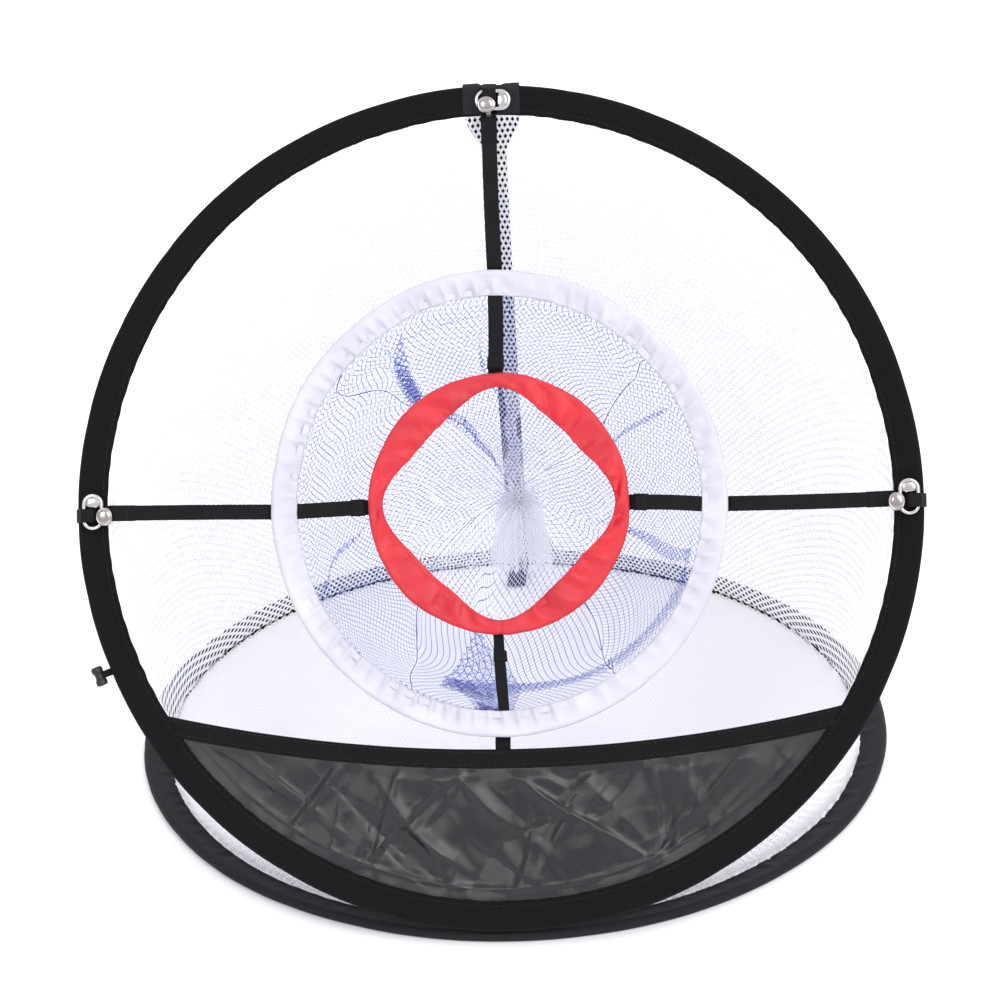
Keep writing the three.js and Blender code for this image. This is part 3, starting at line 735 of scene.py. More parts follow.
WALL_PITCH, WALL_ROW = 3.3, 4.9
low_edge, high_edge = table_foot.min(), (table_foot + table_length).max()
columns, rows = int(WALL_WIDTH / WALL_PITCH) + 2, int((high_edge - low_edge) / WALL_ROW) + 4
outer_wall, wall_part = net(
    "outer_net_wall_mesh", wall_place, columns, rows, WALL_PITCH, WALL_ROW, (0.5, 2.8), M["wall"], wall_keep,
    origin=(0.0, low_edge - 4), fan=lambda x, y: wall_share(x, y)[1], stretched=True)

FLOOR_R = BASE_R - BAND - 1.6


def floor_place(x, y):
    r = np.hypot(x, y)
    slack = 0.9 + 0.8 * crumple(x, y, 21, 120, 8) + 0.6 * (crease(crumple(x, y, 22, 80, 6)) - 0.3)
    height = 1.35 + slack * smooth(FLOOR_R - r, 0, 30)
    return np.stack([x, BASE_Y + y, np.maximum(height, 0.5)], -1)


outer_floor, _ = net(
    "outer_net_floor_mesh", floor_place, 152, 102, 3.3, 4.9, (0.6, 3.0), M["floor"],
    lambda x, y: np.hypot(x, y) < FLOOR_R + 3.2, origin=(-250.0, -247.0))


# ---------------------------------------------------------------- pouches
def hoop_points(ring, turn):
    """Points at turns of rings of (y, z, x, half width, half height, lean and, if given, squareness)."""
    a = np.radians(ring[..., 5])
    pull = 1 + ring[..., 6] * (opening(turn) / RED["reach"] - 1) if ring.shape[-1] > 6 else 1
    across, up = ring[..., 3] * pull * np.cos(turn), ring[..., 4] * pull * np.sin(turn)
    return np.stack([ring[..., 2] + across, ring[..., 0] + up * np.cos(a), ring[..., 1] + up * np.sin(a)], -1)


def cloth_place(points, around, deep):
    """Maps cloth coordinates on a closed grid of points by interpolation."""
    nu, nv = points.shape[:2]

    def place(x, y):
        fu = (x / around * nu) % nu
        fv = np.clip(y / deep * (nv - 1), 0, nv - 1.0001)
        i, j = np.floor(fu).astype(int), np.floor(fv).astype(int)
        a, b = (fu - i)[..., None], (fv - j)[..., None]
        i, k = i % nu, (i + 1) % nu
        return ((1 - a) * (1 - b) * points[i, j] + a * (1 - b) * points[k, j]
                + (1 - a) * b * points[i, j + 1] + a * b * points[k, j + 1])
    return place


def bumps(along, across, folds, wrap):
    """Rate at which cloth advances along a direction, negative inside a fold, and each layer's offset."""
    rate, layer = np.ones(along.shape), np.zeros(along.shape)
    for place, slant, half, strength, start, full, last, end, height in folds:
        off = along - place - slant * (across - start)
        if wrap:
            off = (off + 0.5) % 1 - 0.5
        reach = (across - start) % 1 if not wrap else across - start
        grown = smooth(reach, 0, full - start) * (1 - smooth(reach, last - start, end - start))
        rate = rate - strength * grown * np.exp(-(off / half) ** 2)
        layer = layer - height * grown * np.tanh(off / (0.8 * half)) * np.exp(-(off / (2.6 * half)) ** 2)
    return rate, layer


def folded_bag(rings, turns, stations, meridian, parallel):
    """A bag through its rings, with the cloth laid in folds from mouth to end and folds that run round."""
    fine = 400
    dense = spline(np.array(rings, float), fine)
    c = (np.arange(turns) / turns)[:, None] + np.zeros((1, stations))
    d = np.linspace(0, 1, stations)[None, :] + np.zeros((turns, 1))
    rate, layer = bumps(c, d, meridian, True)
    turn = np.vstack([np.zeros((1, stations)), rate.cumsum(0)[:-1]]) / rate.sum(0) * 2 * math.pi
    rate, second = bumps(d, c, parallel, False)
    deep = np.hstack([np.zeros((turns, 1)), rate[:, 1:].cumsum(1)]) / rate[:, 1:].sum(1, keepdims=True)
    ring = sample(dense, np.linspace(0, 1, fine), np.clip(deep, 0, 1))
    points = hoop_points(ring, turn)
    middle = ring[..., [2, 0, 1]]
    return points + unit(points - middle) * ((layer + second) * smooth(deep, 0, 0.03))[..., None]


MOUTH = front(0.0, WHITE["up"], 0.0)
blue_rings = [
    (MOUTH[1], MOUTH[2], 0, WHITE["a"] - WHITE["band"] + 2, WHITE["b"] - WHITE["band"] + 2, 62.5),
    (135, 221.7, 0, 118, 119.6, 62.6), (162.5, 203.7, 0, 110, 111.4, 61.9), (195, 186.7, 0, 101, 100, 63.2),
    (227.5, 172, 1, 88, 84.5, 67.4), (254, 162.5, 2, 68, 65.3, 73), (271, 159, 3, 50, 46.9, 79),
    (281, 161, 4, 33, 31, 86), (284.5, 162.5, 4, 13, 12.5, 90), (285, 163, 4, 1, 1, 90)]
BLUE_AROUND, BLUE_DEEP, GORES, FIRST_SEAM = 815.0, 264.0, 4, 0.11
# Share of the way round (0 right, 0.25 top) or of the depth, slant, half width and strength, then where along
# itself the fold starts, is full, fades and ends, and its height.
down_folds = [
    (0.294, 0.030, 0.0024, 4.4, 0.00, 0.20, 2.0, 3.0, 2.5),
    (0.312, 0.028, 0.0022, 4.4, 0.03, 0.24, 2.0, 3.0, 1.5),
    (0.329, 0.026, 0.0022, 4.4, 0.08, 0.30, 2.0, 3.0, 2.5),
    (0.676, 0.05, 0.0026, 4.4, -0.05, 0.05, 0.45, 0.8, 2.0),
    (0.696, 0.02, 0.0026, 4.4, -0.05, 0.05, 0.35, 0.7, 3.0),
    (0.717, 0.00, 0.0026, 4.4, -0.05, 0.05, 0.35, 0.7, 1.5),
    (0.737, -0.03, 0.0026, 4.4, -0.05, 0.05, 0.35, 0.7, 3.5),
    (0.757, -0.06, 0.0026, 4.4, -0.05, 0.05, 0.45, 0.8, 2.0),
    (0.515, -0.07, 0.0016, 4.0, 0.00, 0.12, 0.4, 0.7, 1.5),
    (0.072, 0.03, 0.0013, 3.6, 0.02, 0.14, 0.5, 0.9, 1.0),
    (0.225, 0.01, 0.0014, 3.6, 0.10, 0.4, 2.0, 3.0, 1.0),
    (0.955, 0.03, 0.0022, 4.2, 0.02, 0.16, 0.5, 0.9, 2.0)]
round_folds = [
    (0.34, -0.80, 0.012, 5.5, 0.69, 0.72, 0.93, 0.99, 3.0),
    (0.45, -0.95, 0.012, 5.5, 0.70, 0.73, 0.91, 0.97, 1.5),
    (0.12, -0.25, 0.004, 3.8, 0.20, 0.22, 0.29, 0.31, 1.0),
    (0.10, 0.10, 0.006, 4.4, 0.57, 0.61, 0.72, 0.77, 2.0),
    (0.045, 0.02, 0.005, 4.4, 0.54, 0.58, 0.74, 0.80, 2.0)]


def blue_shape():
    """The folded pouch with its slack, as points [turn, station]."""
    turns, stations = 900, 220
    shape = folded_bag(blue_rings, turns, stations, down_folds, round_folds)
    turn = around(turns)[:, None]
    depth = np.linspace(0, 1, stations)[None, :]
    slack = smooth(depth, 0.03, 0.5) * smooth(1 - depth, 0, 0.3) * (
        5.5 * ripple(turn + 0.5 * depth, 91, 3, 7) + 1.6 * ripple(turn - 0.9 * depth, 92, 9, 17))
    return shape + unit(shape - shape.mean(0, keepdims=True)) * slack[..., None]


on_blue = cloth_place(blue_shape(), 1.0, BLUE_DEEP)


def girth(d):
    """Cloth needed round the pouch at a depth, as a share of the mouth's."""
    depth = np.linspace(0, 1, 200)
    wide = spline(blue_rings, 200)[:, 3:5].sum(1)
    return np.interp(d, depth, np.clip(wide / wide[0] * (1 + 0.14 * smooth(depth, 0.05, 0.5)), 0.02, 1))


def gore_share(x, y):
    """Which gore a point of the cloth is in, and how far across it, -1 to 1 between its seams."""
    wide = BLUE_AROUND / GORES
    gore = np.floor((x % BLUE_AROUND) / wide)
    return gore, ((x % BLUE_AROUND) - (gore + 0.5) * wide) / (wide / 2 * girth(y / BLUE_DEEP))


def blue_place(x, y):
    gore, across = gore_share(x, y)
    return on_blue(((gore + 0.5 + np.clip(across, -1.05, 1.05) / 2) / GORES + FIRST_SEAM) % 1, y)


def blue_dense(x, y):
    """Threads lie closer and show thicker where the cloth is folded over itself."""
    across = np.linalg.norm(blue_place(x + 0.3, y) - blue_place(x - 0.3, y), axis=-1) / 0.6
    down = np.linalg.norm(blue_place(x, y + 0.3) - blue_place(x, y - 0.3), axis=-1) / 0.6
    return 1 + 0.7 * smooth(np.maximum(across, down), 1.5, 2.4)


columns = 228
seam_depth = np.linspace(1, BLUE_DEEP - 12, 150)
blue_net, _ = net(
    "blue_pouch_mesh", blue_place, columns, 84, BLUE_AROUND / columns, 3.22, (0.25, 0.34), M["blue"],
    lambda x, y: (np.abs(gore_share(x, y)[1]) < 1.0) & (y < BLUE_DEEP), loop=True, stagger=0.1,
    thicker=blue_dense, cords=[on_blue(np.full(150, k / GORES + FIRST_SEAM), seam_depth) for k in range(GORES)])

RED_MOUTH = front(0.0, RED["up"], 0.0)
white_rings = [
    (RED_MOUTH[1], RED_MOUTH[2], 0, 73, 73, 62.5, 1), (122, 231, 0, 68, 68, 62, 0.95),
    (145, 220, 1, 54, 54, 61, 0.7), (178, 206, 4, 35, 34, 57, 0.3), (206, 196, 7, 16, 15, 50, 0),
    (221, 189, 9, 9, 9, 32, 0), (229, 176, 9, 10, 8, 12, 0), (231, 152, 10, 13, 9, 2, 0),
    (232, 132, 11, 16, 9.5, 0, 0)]
WHITE_AROUND, WHITE_DEEP = 404.0, 196.0


def white_shape():
    """The gathered pouch: loose at the mouth, pleated into its neck and tail."""
    turn = around(336)[:, None]
    depth = np.linspace(0, 1, 120)[None, :]
    shape = hoop_points(spline(white_rings, 120)[None], turn)
    away = shape - shape.mean(0, keepdims=True)
    folds = np.sin(19 * turn + 1.3 * np.sin(3 * turn + 4 * depth))
    folds = folds + 0.5 * ripple(turn + 0.3 * depth, 95, 18, 40)
    neck = smooth(depth, 0.1, 0.58)
    share = neck * (0.04 + 0.34 * smooth(depth, 0.5, 0.72))
    loose = 2.0 * smooth(depth, 0.02, 0.25) * (1 - neck) * ripple(turn + 0.5 * depth, 96, 4, 11)
    shape = shape + unit(away) * (np.linalg.norm(away, axis=-1) * share * folds + loose)[..., None]
    shape[..., 2] += 3.0 * smooth(depth, 0.9, 1.0) * ripple(turn, 97, 5, 16)
    return shape


white_place = cloth_place(white_shape(), WHITE_AROUND, WHITE_DEEP)
columns = 118
white_net, _ = net(
    "white_pouch_mesh", white_place, columns, 62, WHITE_AROUND / columns, 3.18, (0.25, 0.28), M["pouch"],
    loop=True, stagger=0.25,
    thicker=lambda x, y: 1 + 0.9 * smooth(y / WHITE_DEEP, 0.5, 0.75))


# ---------------------------------------------------------------- pocket
HEM_LOW, HEM_RISE, HEM_BAND = 146.0, 22.5, 11.5


def hem_top(x):
    return -HEM_LOW + HEM_RISE * (x / 200) ** 2


def hem_end(below, r):
    low, high = 0.0, r
    for _ in range(40):
        x = (low + high) / 2
        low, high = (x, high) if math.hypot(x, hem_top(x) - below) < r else (low, x)
    return low


def panel_grid():
    """The panel's points across and up: from inside the hem down to the sleeve's inner edge."""
    r = FRONT_R - BAND + 2.6
    tuck = HEM_BAND - 1.5
    top_x = np.linspace(-1, 1, 420) * hem_end(tuck, r)
    top_v = hem_top(top_x) - tuck
    low_angle = math.atan2(top_v[-1], top_x[-1])
    a = np.linspace(low_angle, -math.pi - low_angle, 420)
    low_x, low_v = r * np.cos(a)[::-1], r * np.sin(a)[::-1]
    t = np.linspace(0, 1, 120)[None, :]
    x = top_x[:, None] * (1 - t) + low_x[:, None] * t
    return x, top_v[:, None] * (1 - t) + low_v[:, None] * t


def long_folds(px, pv, seed, count):
    """Creases in the pocket's cloth: long ridges with one sharp side, that fade towards their ends."""
    rng = np.random.default_rng(seed)
    total = 0 * px
    for k in range(count):
        x0, v0 = rng.uniform(-190, 190), rng.uniform(-245, -150)
        heading = math.radians(rng.choice([52, 62, 118, 128, 40, 140]) + rng.normal(0, 9))
        length, width, height = rng.uniform(25, 80), rng.uniform(3, 9), rng.uniform(0.5, 1.6)
        along = (px - x0) * math.cos(heading) + (pv - v0) * math.sin(heading)
        off = (pv - v0) * math.cos(heading) - (px - x0) * math.sin(heading)
        off = off + 2.2 * np.sin(along / 17 + k) + 0.012 * rng.normal() * along ** 2 / 4
        side = rng.choice([-1, 1])
        slope = np.where(off * side > 0, np.exp(-np.abs(off) / (width * 0.32)), np.exp(-(off / width) ** 2))
        total = total + height * slope * np.exp(-(along / length) ** 2)
    return total


def pocket_panel():
    """The pocket's cloth, creased, with a middle seam and its gathered rim inside the sleeve."""
    px, pv = panel_grid()
    rim = FRONT_R - BAND - np.hypot(px, pv)
    hem_gap = hem_top(px) - HEM_BAND - pv
    inside = smooth(rim, -1, 12) * smooth(hem_gap, -1, 8)
    relief = (1.6 * crumple(px, pv, 41, 120, 6, 0.9) + 1.3 * crumple(px, pv, 42, 70, 7, 2.2)
              + 1.2 * (crease(crumple(px, pv, 43, 90, 6, 1.0)) - 0.4) + 1.5 * long_folds(px, pv, 47, 30)
              - 1.1 * long_folds(px, pv, 48, 18) + 0.3 * (crease(crumple(px, pv, 44, 30, 9)) - 0.4))
    deepest = 7.0
    relief = np.tanh(relief * 1.5 / deepest) * deepest * inside
    relief = relief + 0.75 * np.exp(-((rim - 7.5) / 1.5) ** 2) * smooth(hem_gap, 0, 6)
    gathers = np.exp(-((rim - 3) / 3) ** 2) * np.sin(px / 2.1 + np.sin(pv / 9))
    relief = relief + 0.3 * smooth(rim, 0, 8) * gathers - 0.35 * np.exp(-((px - 4.5) / 0.8) ** 2) * inside
    panel = Part()
    panel.grid(front(px, pv, relief * 0.9 + 0.15 * inside), np.linspace(0, 440, 420), np.linspace(0, 92, 120))
    return panel.build("pocket_panel_cloth", M["panel"])


def hem():
    """Binding folded over the panel's top edge, stitched along both of its edges, front and back."""
    r = FRONT_R - BAND + 3.0
    ends = hem_end(0, r)
    x = np.linspace(-ends, ends, 460)
    v = hem_top(x)
    slope = 2 * HEM_RISE * x / 200 ** 2
    down = unit(np.stack([slope, -np.ones_like(x)], -1))
    along = measure(np.stack([x, v], -1))
    outline = [(0.0, 0.0), (0.25, 0.6), (1.0, 0.98), (3.0, 1.05), (5.8, 0.95), (HEM_BAND - 3.2, 1.0),
               (HEM_BAND - 2.3, 0.82), (HEM_BAND - 1.4, 1.02), (HEM_BAND - 0.3, 0.95), (HEM_BAND, 0.55),
               (HEM_BAND - 0.2, 0.3)]
    sec = spline(outline + [(s, -n) for s, n in reversed(outline)][:-1] + [outline[0]], 61)[:-1]
    lean = 0.45 * (0.35 * np.sin(along / 19 + np.sin(along / 31)) + 0.3 * np.sin(along / 7.3))
    ply = np.sign(sec[:, 1])[None]
    pinch = 0.22 * np.sin(along[:, None] / 2.2 + 1.5 * np.sin(along[:, None] / 23)) \
        * smooth(sec[None, :, 0], 5, HEM_BAND - 1) * ply
    hx = x[:, None] + down[:, None, 0] * sec[None, :, 0]
    hv = v[:, None] + down[:, None, 1] * sec[None, :, 0]
    p = front(hx, hv, sec[None, :, 1] + pinch + lean[:, None])
    part = Part()
    part.grid(p, along, measure(sec, True), (False, True))
    part.cap(p[0])
    part.cap(p[-1], flip=True)
    for depth_at, level in ((HEM_BAND - 2.3, 0.88), (1.7, 1.04)):
        for sign in (1, -1):
            curve = front(x + down[:, 0] * depth_at, v + down[:, 1] * depth_at, sign * level + lean)
            stitches(part, curve[8:-8], np.tile(sign * OUT, (len(curve) - 16, 1)), 2.6, 0.9, 0.22)
    return part.build("pocket_hem_tape", M["binding"], M["thread"])


pocket, pocket_hem = pocket_panel(), hem()


# ---------------------------------------------------------------- straps
def frame_of(path, side_hint):
    """Side and outward directions along a path whose width lies along side_hint."""
    d = unit(np.gradient(path, axis=0))
    side = unit(side_hint - (side_hint * d).sum(-1, keepdims=True) * d)
    return side, unit(np.cross(d, side))


def front_strap(name, a, b, width, levels, seed, doubled, twist=0.0, taper=(1, 1)):
    """An elastic strap near the front hoop's plane. levels has its height at distances along it, and doubled
    the start, end and extra width of the turned-back end sewn on it, if it has one."""
    a, b = np.array(a, float), np.array(b, float)
    length = np.linalg.norm(b - a)
    count = max(12, int(length / 0.8))
    t = np.linspace(0, 1, count)
    sideways = np.array([a[1] - b[1], b[0] - a[0]]) / length
    bow = 0.5 * np.sin(math.pi * t) * math.sin(seed * 1.7)
    xy = a + (b - a) * t[:, None] + sideways * bow[:, None]
    key = spline(np.array(levels, float), 60)
    n = np.interp(t * length, key[:, 0], key[:, 1]) + 0.12 * np.sin(t * length / 9 + seed)
    path = front(xy[:, 0], xy[:, 1], n)
    flat_side = sideways[0] * ACROSS + sideways[1] * UP
    side, out = frame_of(path, np.tile(flat_side, (count, 1)))
    out = out * np.sign((out @ OUT).mean())
    turn = twist * smooth(t, 0.1, 0.9)
    c, s = np.cos(turn)[:, None], np.sin(turn)[:, None]
    side, out = side * c + out * s, out * c - side * s
    part = Part()
    scale = np.interp(t, [0, 1], taper)
    sweep(part, path, side, out, ribbed(width, 1.1, 7), width=scale)
    if doubled:
        start, end, wider = doubled
        pick = (t * length >= start) & (t * length <= end)
        lap, s2, o2 = path[pick], side[pick], out[pick]
        soft = smooth(np.linspace(0, 1, len(lap)), 0, 0.12) * smooth(np.linspace(1, 0, len(lap)), 0, 0.12)
        sweep(part, lap + o2 * (0.75 * soft + 0.15)[:, None], s2, o2, ribbed(width + wider, 0.95, 7, 0.1))
        w = np.linspace(-width * 0.42, width * 0.42, 12)[:, None]
        for k in (int(0.3 * (len(lap) - 1)), int(0.72 * (len(lap) - 1))):
            stitches(part, lap[k] + o2[k] * 1.42 + s2[k] * w, np.tile(o2[0], (12, 1)), 1.2, 0.5, 0.2)
    return part.build(name, M["elastic"], M["thread"])


W_TOP, W_LOW = WHITE["up"] + WHITE["b"], WHITE["up"] - WHITE["b"]
REACH = FRONT_R - 17.4
STRAP = 9.2
outer = {}
for side_name, start, end in (("top", (-2, REACH), (0, W_TOP)), ("left", (-REACH, 0), (-WHITE["a"], -1)),
                              ("right", (REACH, 0), (WHITE["a"], -1))):
    start, end = np.array(start, float), np.array(end, float)
    goal = end + unit(end - start) * 9
    length = np.linalg.norm(goal - start)
    outer[side_name] = front_strap(
        f"outer_strap_{side_name}_elastic", start, goal, STRAP,
        [(0, 3.0), (3, 2.5), (11, 0.4), (22, -0.1), (length - 17, -0.5), (length - 9, -4.4), (length, -4.6)],
        len(side_name), (1.0, 17.5, 0.5))
outer["bottom"] = front_strap(
    "outer_strap_bottom_elastic", (0, -HEM_LOW - 7), (0, W_LOW + 8), STRAP,
    [(0, -1.9), (6, -1.9), (10, -2.4), (14, -4.2), (22, -4.6)], 9, None)

inner = {}
white_in = WHITE["band"] - 0.8
for side_name, start, end in (
        ("top", (0, W_TOP - white_in), (-1, RED["up"] + RED["b"] - 5)),
        ("left", (-WHITE["a"] + white_in, -1), (-RED["a"] + 5, 1)),
        ("right", (WHITE["a"] - white_in, -1), (RED["a"] - 5, 1))):
    length = math.dist(start, end)
    inner[side_name] = front_strap(
        f"inner_strap_{side_name}_elastic", start, end, STRAP,
        [(0, -0.2), (5, -0.2), (length * 0.5, -0.2), (length - 11, -0.6), (length - 5, -2.9), (length, -3.1)],
        20 + len(side_name), (length - 15.5, length - 6.6, 1.0))
inner["bottom"] = front_strap(
    "inner_strap_bottom_elastic", (1, W_LOW + white_in), (-2, RED["up"] - RED["b"] + 5), STRAP - 1,
    [(0, -0.2), (5, -0.2), (17, 0.2), (31, -0.5), (41, -2.9), (49, -3.1)], 30,
    (30, 38, 1.2), 0.75, (0.78, 1.0))


# ---------------------------------------------------------------- clips
def on_hoop(angle):
    """Places x in from the hoop's outer edge, y along the hoop and z out of its plane."""
    a = math.radians(angle)
    inward = -math.cos(a) * ACROSS - math.sin(a) * UP
    along = math.sin(a) * ACROSS - math.cos(a) * UP
    origin = CENTRE - FRONT_R * inward

    def place(x, y, z):
        x, y, z = np.broadcast_arrays(x, y, z)
        return origin + x[..., None] * inward + y[..., None] * along + z[..., None] * OUT
    return place, along


CLIP = dict(s=10.0, n=6.6, long=9.85, short=5.3, wire=1.15)


def strip(part, place, along, path, width, thick, ribs, depth):
    """A tape along a path in the hoop's section plane."""
    pts = spline(path, 4 * len(path))
    points = place(pts[:, 0], 0 * pts[:, 0], pts[:, 1])
    side = np.tile(along, (len(points), 1))
    out = unit(np.cross(side, unit(np.gradient(points, axis=0))))
    sweep(part, points, side, out, ribbed(width, thick, ribs, depth))


def tab_path():
    """The webbing loop: from behind the sleeve, over the ring's outer bar and down through the ring."""
    wrap = 4.15
    bar = CLIP["s"] - CLIP["short"]
    curl = CLIP["wire"] + 0.75
    gap = math.hypot(bar - BULGE, CLIP["n"])
    along = math.atan2(CLIP["n"], bar - BULGE)
    leave = math.degrees(along + math.acos((wrap - curl) / gap))
    round_both = arc(BULGE, 0, wrap, 270, leave, 9) + arc(bar, CLIP["n"], curl, leave, 80, 5)
    tail = [(7.2, 8.4), (9.4, 8.1), (10.9, 7.0), (11.3, 5.4), (10.6, 4.2)]
    return [(14.5, -2.0), (11, -2.7), (7, -3.9)] + round_both + tail


def link_ring(place):
    """The oval ring, with the bright plate that closes one half of it."""
    part = Part()
    s, n, r = CLIP["s"], CLIP["n"], CLIP["wire"]
    a = around(120)
    flat = CLIP["long"] - CLIP["short"]
    straight = flat * np.tanh(6 * np.sin(a))
    centre = np.stack([s + CLIP["short"] * np.cos(a), CLIP["short"] * np.sin(a) + straight], -1)
    d = unit(np.roll(centre, -1, 0) - np.roll(centre, 1, 0))
    b = around(20)
    x = centre[:, None, 0] + d[:, None, 1] * r * np.cos(b)
    y = centre[:, None, 1] - d[:, None, 0] * r * np.cos(b)
    u, v = np.linspace(0, 50, 121), np.linspace(0, 7, 21)
    part.grid(place(x, y, n + r * np.sin(b)), u, v, (True, True), flip=True)
    t = around(72)[:, None]
    rows = [(0.0, 0.72), (0.5, 0.68), (0.8, 0.5), (0.95, 0.2), (1.0, 0.0), (0.97, -0.25), (0.0, -0.3)]
    spread, rise = np.array(rows).T[:, None]
    near, far = 3.2, CLIP["long"] - 1.6
    x = s + 4.5 * spread * np.sign(np.cos(t)) * np.abs(np.cos(t)) ** 0.8
    y = (far + near) / 2 + ((far - near) / 2 + 0.8) * spread * np.sign(np.sin(t)) * np.abs(np.sin(t)) ** 0.7
    part.grid(place(x, y, n - 0.3 + rise * 0.9), np.linspace(0, 26, 73), np.linspace(0, 8, 7), (True, False))
    return part


def hook_knob(place, inwards, aside):
    """The strap's stud: a low dome with a rolled rim over the ring's inner bar, and a riveted post."""
    part = Part()
    wide, high = 5.6, 5.0
    dome = [(0.001, 10.7), (1.6, 10.66), (3.0, 10.5), (3.9, 10.2), (4.3, 9.9), (4.6, 9.8), (4.95, 9.95),
            (5.3, 9.8), (5.5, 9.4), (5.6, 8.9), (5.45, 8.5), (5.0, 8.25), (3.0, 8.15), (0.001, 8.1)]

    def over(x, y, z):
        return place(inwards + x * high / wide, aside + y, z)
    lathe(part, spline(dome, 64), over, 72)
    post = [(0.001, 8.3), (1.3, 8.3), (1.3, 6.5), (1.3, 4.2), (1.4, 3.9), (1.6, 3.75), (1.6, 3.4), (1.5, 3.1),
            (0.001, 3.0)]
    foot = CLIP["s"] + CLIP["short"] + CLIP["wire"] + 1.35
    lathe(part, spline(post, 40), lambda x, y, z: place(foot + x, aside * 0.6 + y, z), 40)
    return part


clips = {}
# side, bearing on the hoop, knob's place inwards and aside, and which way round the ring hangs
for side_name, angle, inwards, aside, hang in (
        ("top", 90, 13.2, -3.0, 1), ("left", 180, 17.4, -2.2, 1), ("right", 0, 17.9, 2.0, -1)):
    place, along = on_hoop(angle)

    def hung(x, y, z):
        return place(CLIP["s"] + hang * (x - CLIP["s"]), hang * (y + 0.9), z)

    tab = Part()
    strip(tab, lambda x, y, z: place(x, y - 1.3 * hang, z), along, tab_path(), 8.3, 0.8, 7, 0.12)
    row = place(np.full(9, 12.4), np.linspace(-4.8, 2.2, 9), -2.95)
    stitches(tab, row, np.tile(-OUT, (9, 1)), 1.4, 0.5, 0.2)
    clips[side_name] = (tab.build(f"clip_tab_{side_name}_loop", M["elastic"], M["thread"]),
                        link_ring(hung).build(f"clip_ring_{side_name}_link", M["nickel"]),
                        hook_knob(place, inwards, aside).build(f"strap_hook_{side_name}_stud", M["stud"]))


# ---------------------------------------------------------------- patch, tape, keeper
def patch():
    """The reinforcing wrap on the front sleeve under the top clip."""
    place, _ = on_hoop(90)
    outline = [(17.4, 1.55), (14, 1.9), (10, 2.5), (6, 3.45)] + arc(BULGE, 0, BULGE + 0.25, 70, 290, 10) \
        + [(6, -3.45), (10, -2.5), (14, -1.9), (17.4, -1.55)]
    sec = spline(outline, 60)
    nrm = outward(sec)
    y = np.linspace(-17.5, 17.0, 80)[:, None]
    edge = smooth(17.5 - np.abs(y + 0.2), -0.3, 0.9)
    ends = smooth(17.5 - sec[None, :, 0], 0.0, 0.8)
    rim = smooth(8 - sec[None, :, 0], 0, 6)
    free = smooth(np.abs(y), 5.6, 8.5)
    lift = (0.32 * edge * (0.35 + 0.65 * ends) + 1.0 * rim * free * edge
            + 0.14 * np.sin(y / 1.9 + sec[None, :, 0] / 3) * free * edge)
    s = sec[None, :, 0] + lift * nrm[None, :, 0]
    n = sec[None, :, 1] + lift * nrm[None, :, 1]
    part = Part()
    p = place(s, y, n)
    part.grid(p, y[:, 0], measure(sec))
    for line, facing in ((p[3:-3, 3], OUT), (p[3:-3, 56], -OUT), (p[5, 3:24], OUT), (p[74, 3:24], OUT)):
        stitches(part, line, np.tile(facing, (len(line), 1)), 2.0, 0.8, 0.2)
    return part.build("sleeve_top_patch_wrap", M["base"], M["thread"])


top_patch = patch()

def hinge():
    """The tape that joins both sleeves at the front, stitched along its face."""
    part = Part()
    x = np.linspace(-32, 32, 90)
    path = np.stack([x, HINGE[1] + 0.12 * np.sin(x / 5), np.full(90, 7.6)], -1)
    half = [(-0.42, -0.8), (-0.45, 0), (-0.42, 0.8), (-0.2, 0.92), (0.2, 0.92)]
    y, z = np.tile([[0.0, 1.0, 0.0]], (90, 1)), np.tile([[0.0, 0.0, 1.0]], (90, 1))
    sweep(part, path, y, z, half + [(-a, -b) for a, b in half])
    stitches(part, path + [0, -0.46, 0.1], -y, 2.0, 0.8, 0.17)
    return part.build("hinge_seam_tape_strip", M["binding"], M["thread"])


hinge_tape = hinge()


def keeper():
    """The keeper's elastic loop, sewn behind the sleeve, and its waisted barrel."""
    place, along = on_hoop(202)
    loop = Part()
    path = [(14, -2.1), (11, -2.7), (7, -3.9)] + arc(BULGE, 0, 4.15, 275, 215, 5)
    path += [(-1.8, -1.9), (-3.6, -0.9), (-4.9, -0.2)]
    strip(loop, place, along, path, 4.4, 0.9, 4, 0.1)
    loop_obj = loop.build("keeper_loop_elastic", M["elastic"])
    barrel = Part()
    end = [(0.001, 6), (1.2, 6), (2.5, 5.85), (3.25, 5.3), (3.5, 4.5), (3.45, 3.0), (3.2, 2.2), (2.75, 1.6),
           (2.6, 0.6)]
    profile = spline([(r, -z) for r, z in end] + end[::-1], 70)
    lathe(barrel, profile, lambda x, y, z: place(-7.6 + x, z, y))
    return loop_obj, barrel.build("keeper_toggle_barrel", M["plastic"])


keeper_loop, keeper_toggle = keeper()


# ---------------------------------------------------------------- spine
BACK = math.pi / 2
BACK_LENGTH = np.interp(BACK, table_turn, table_length)


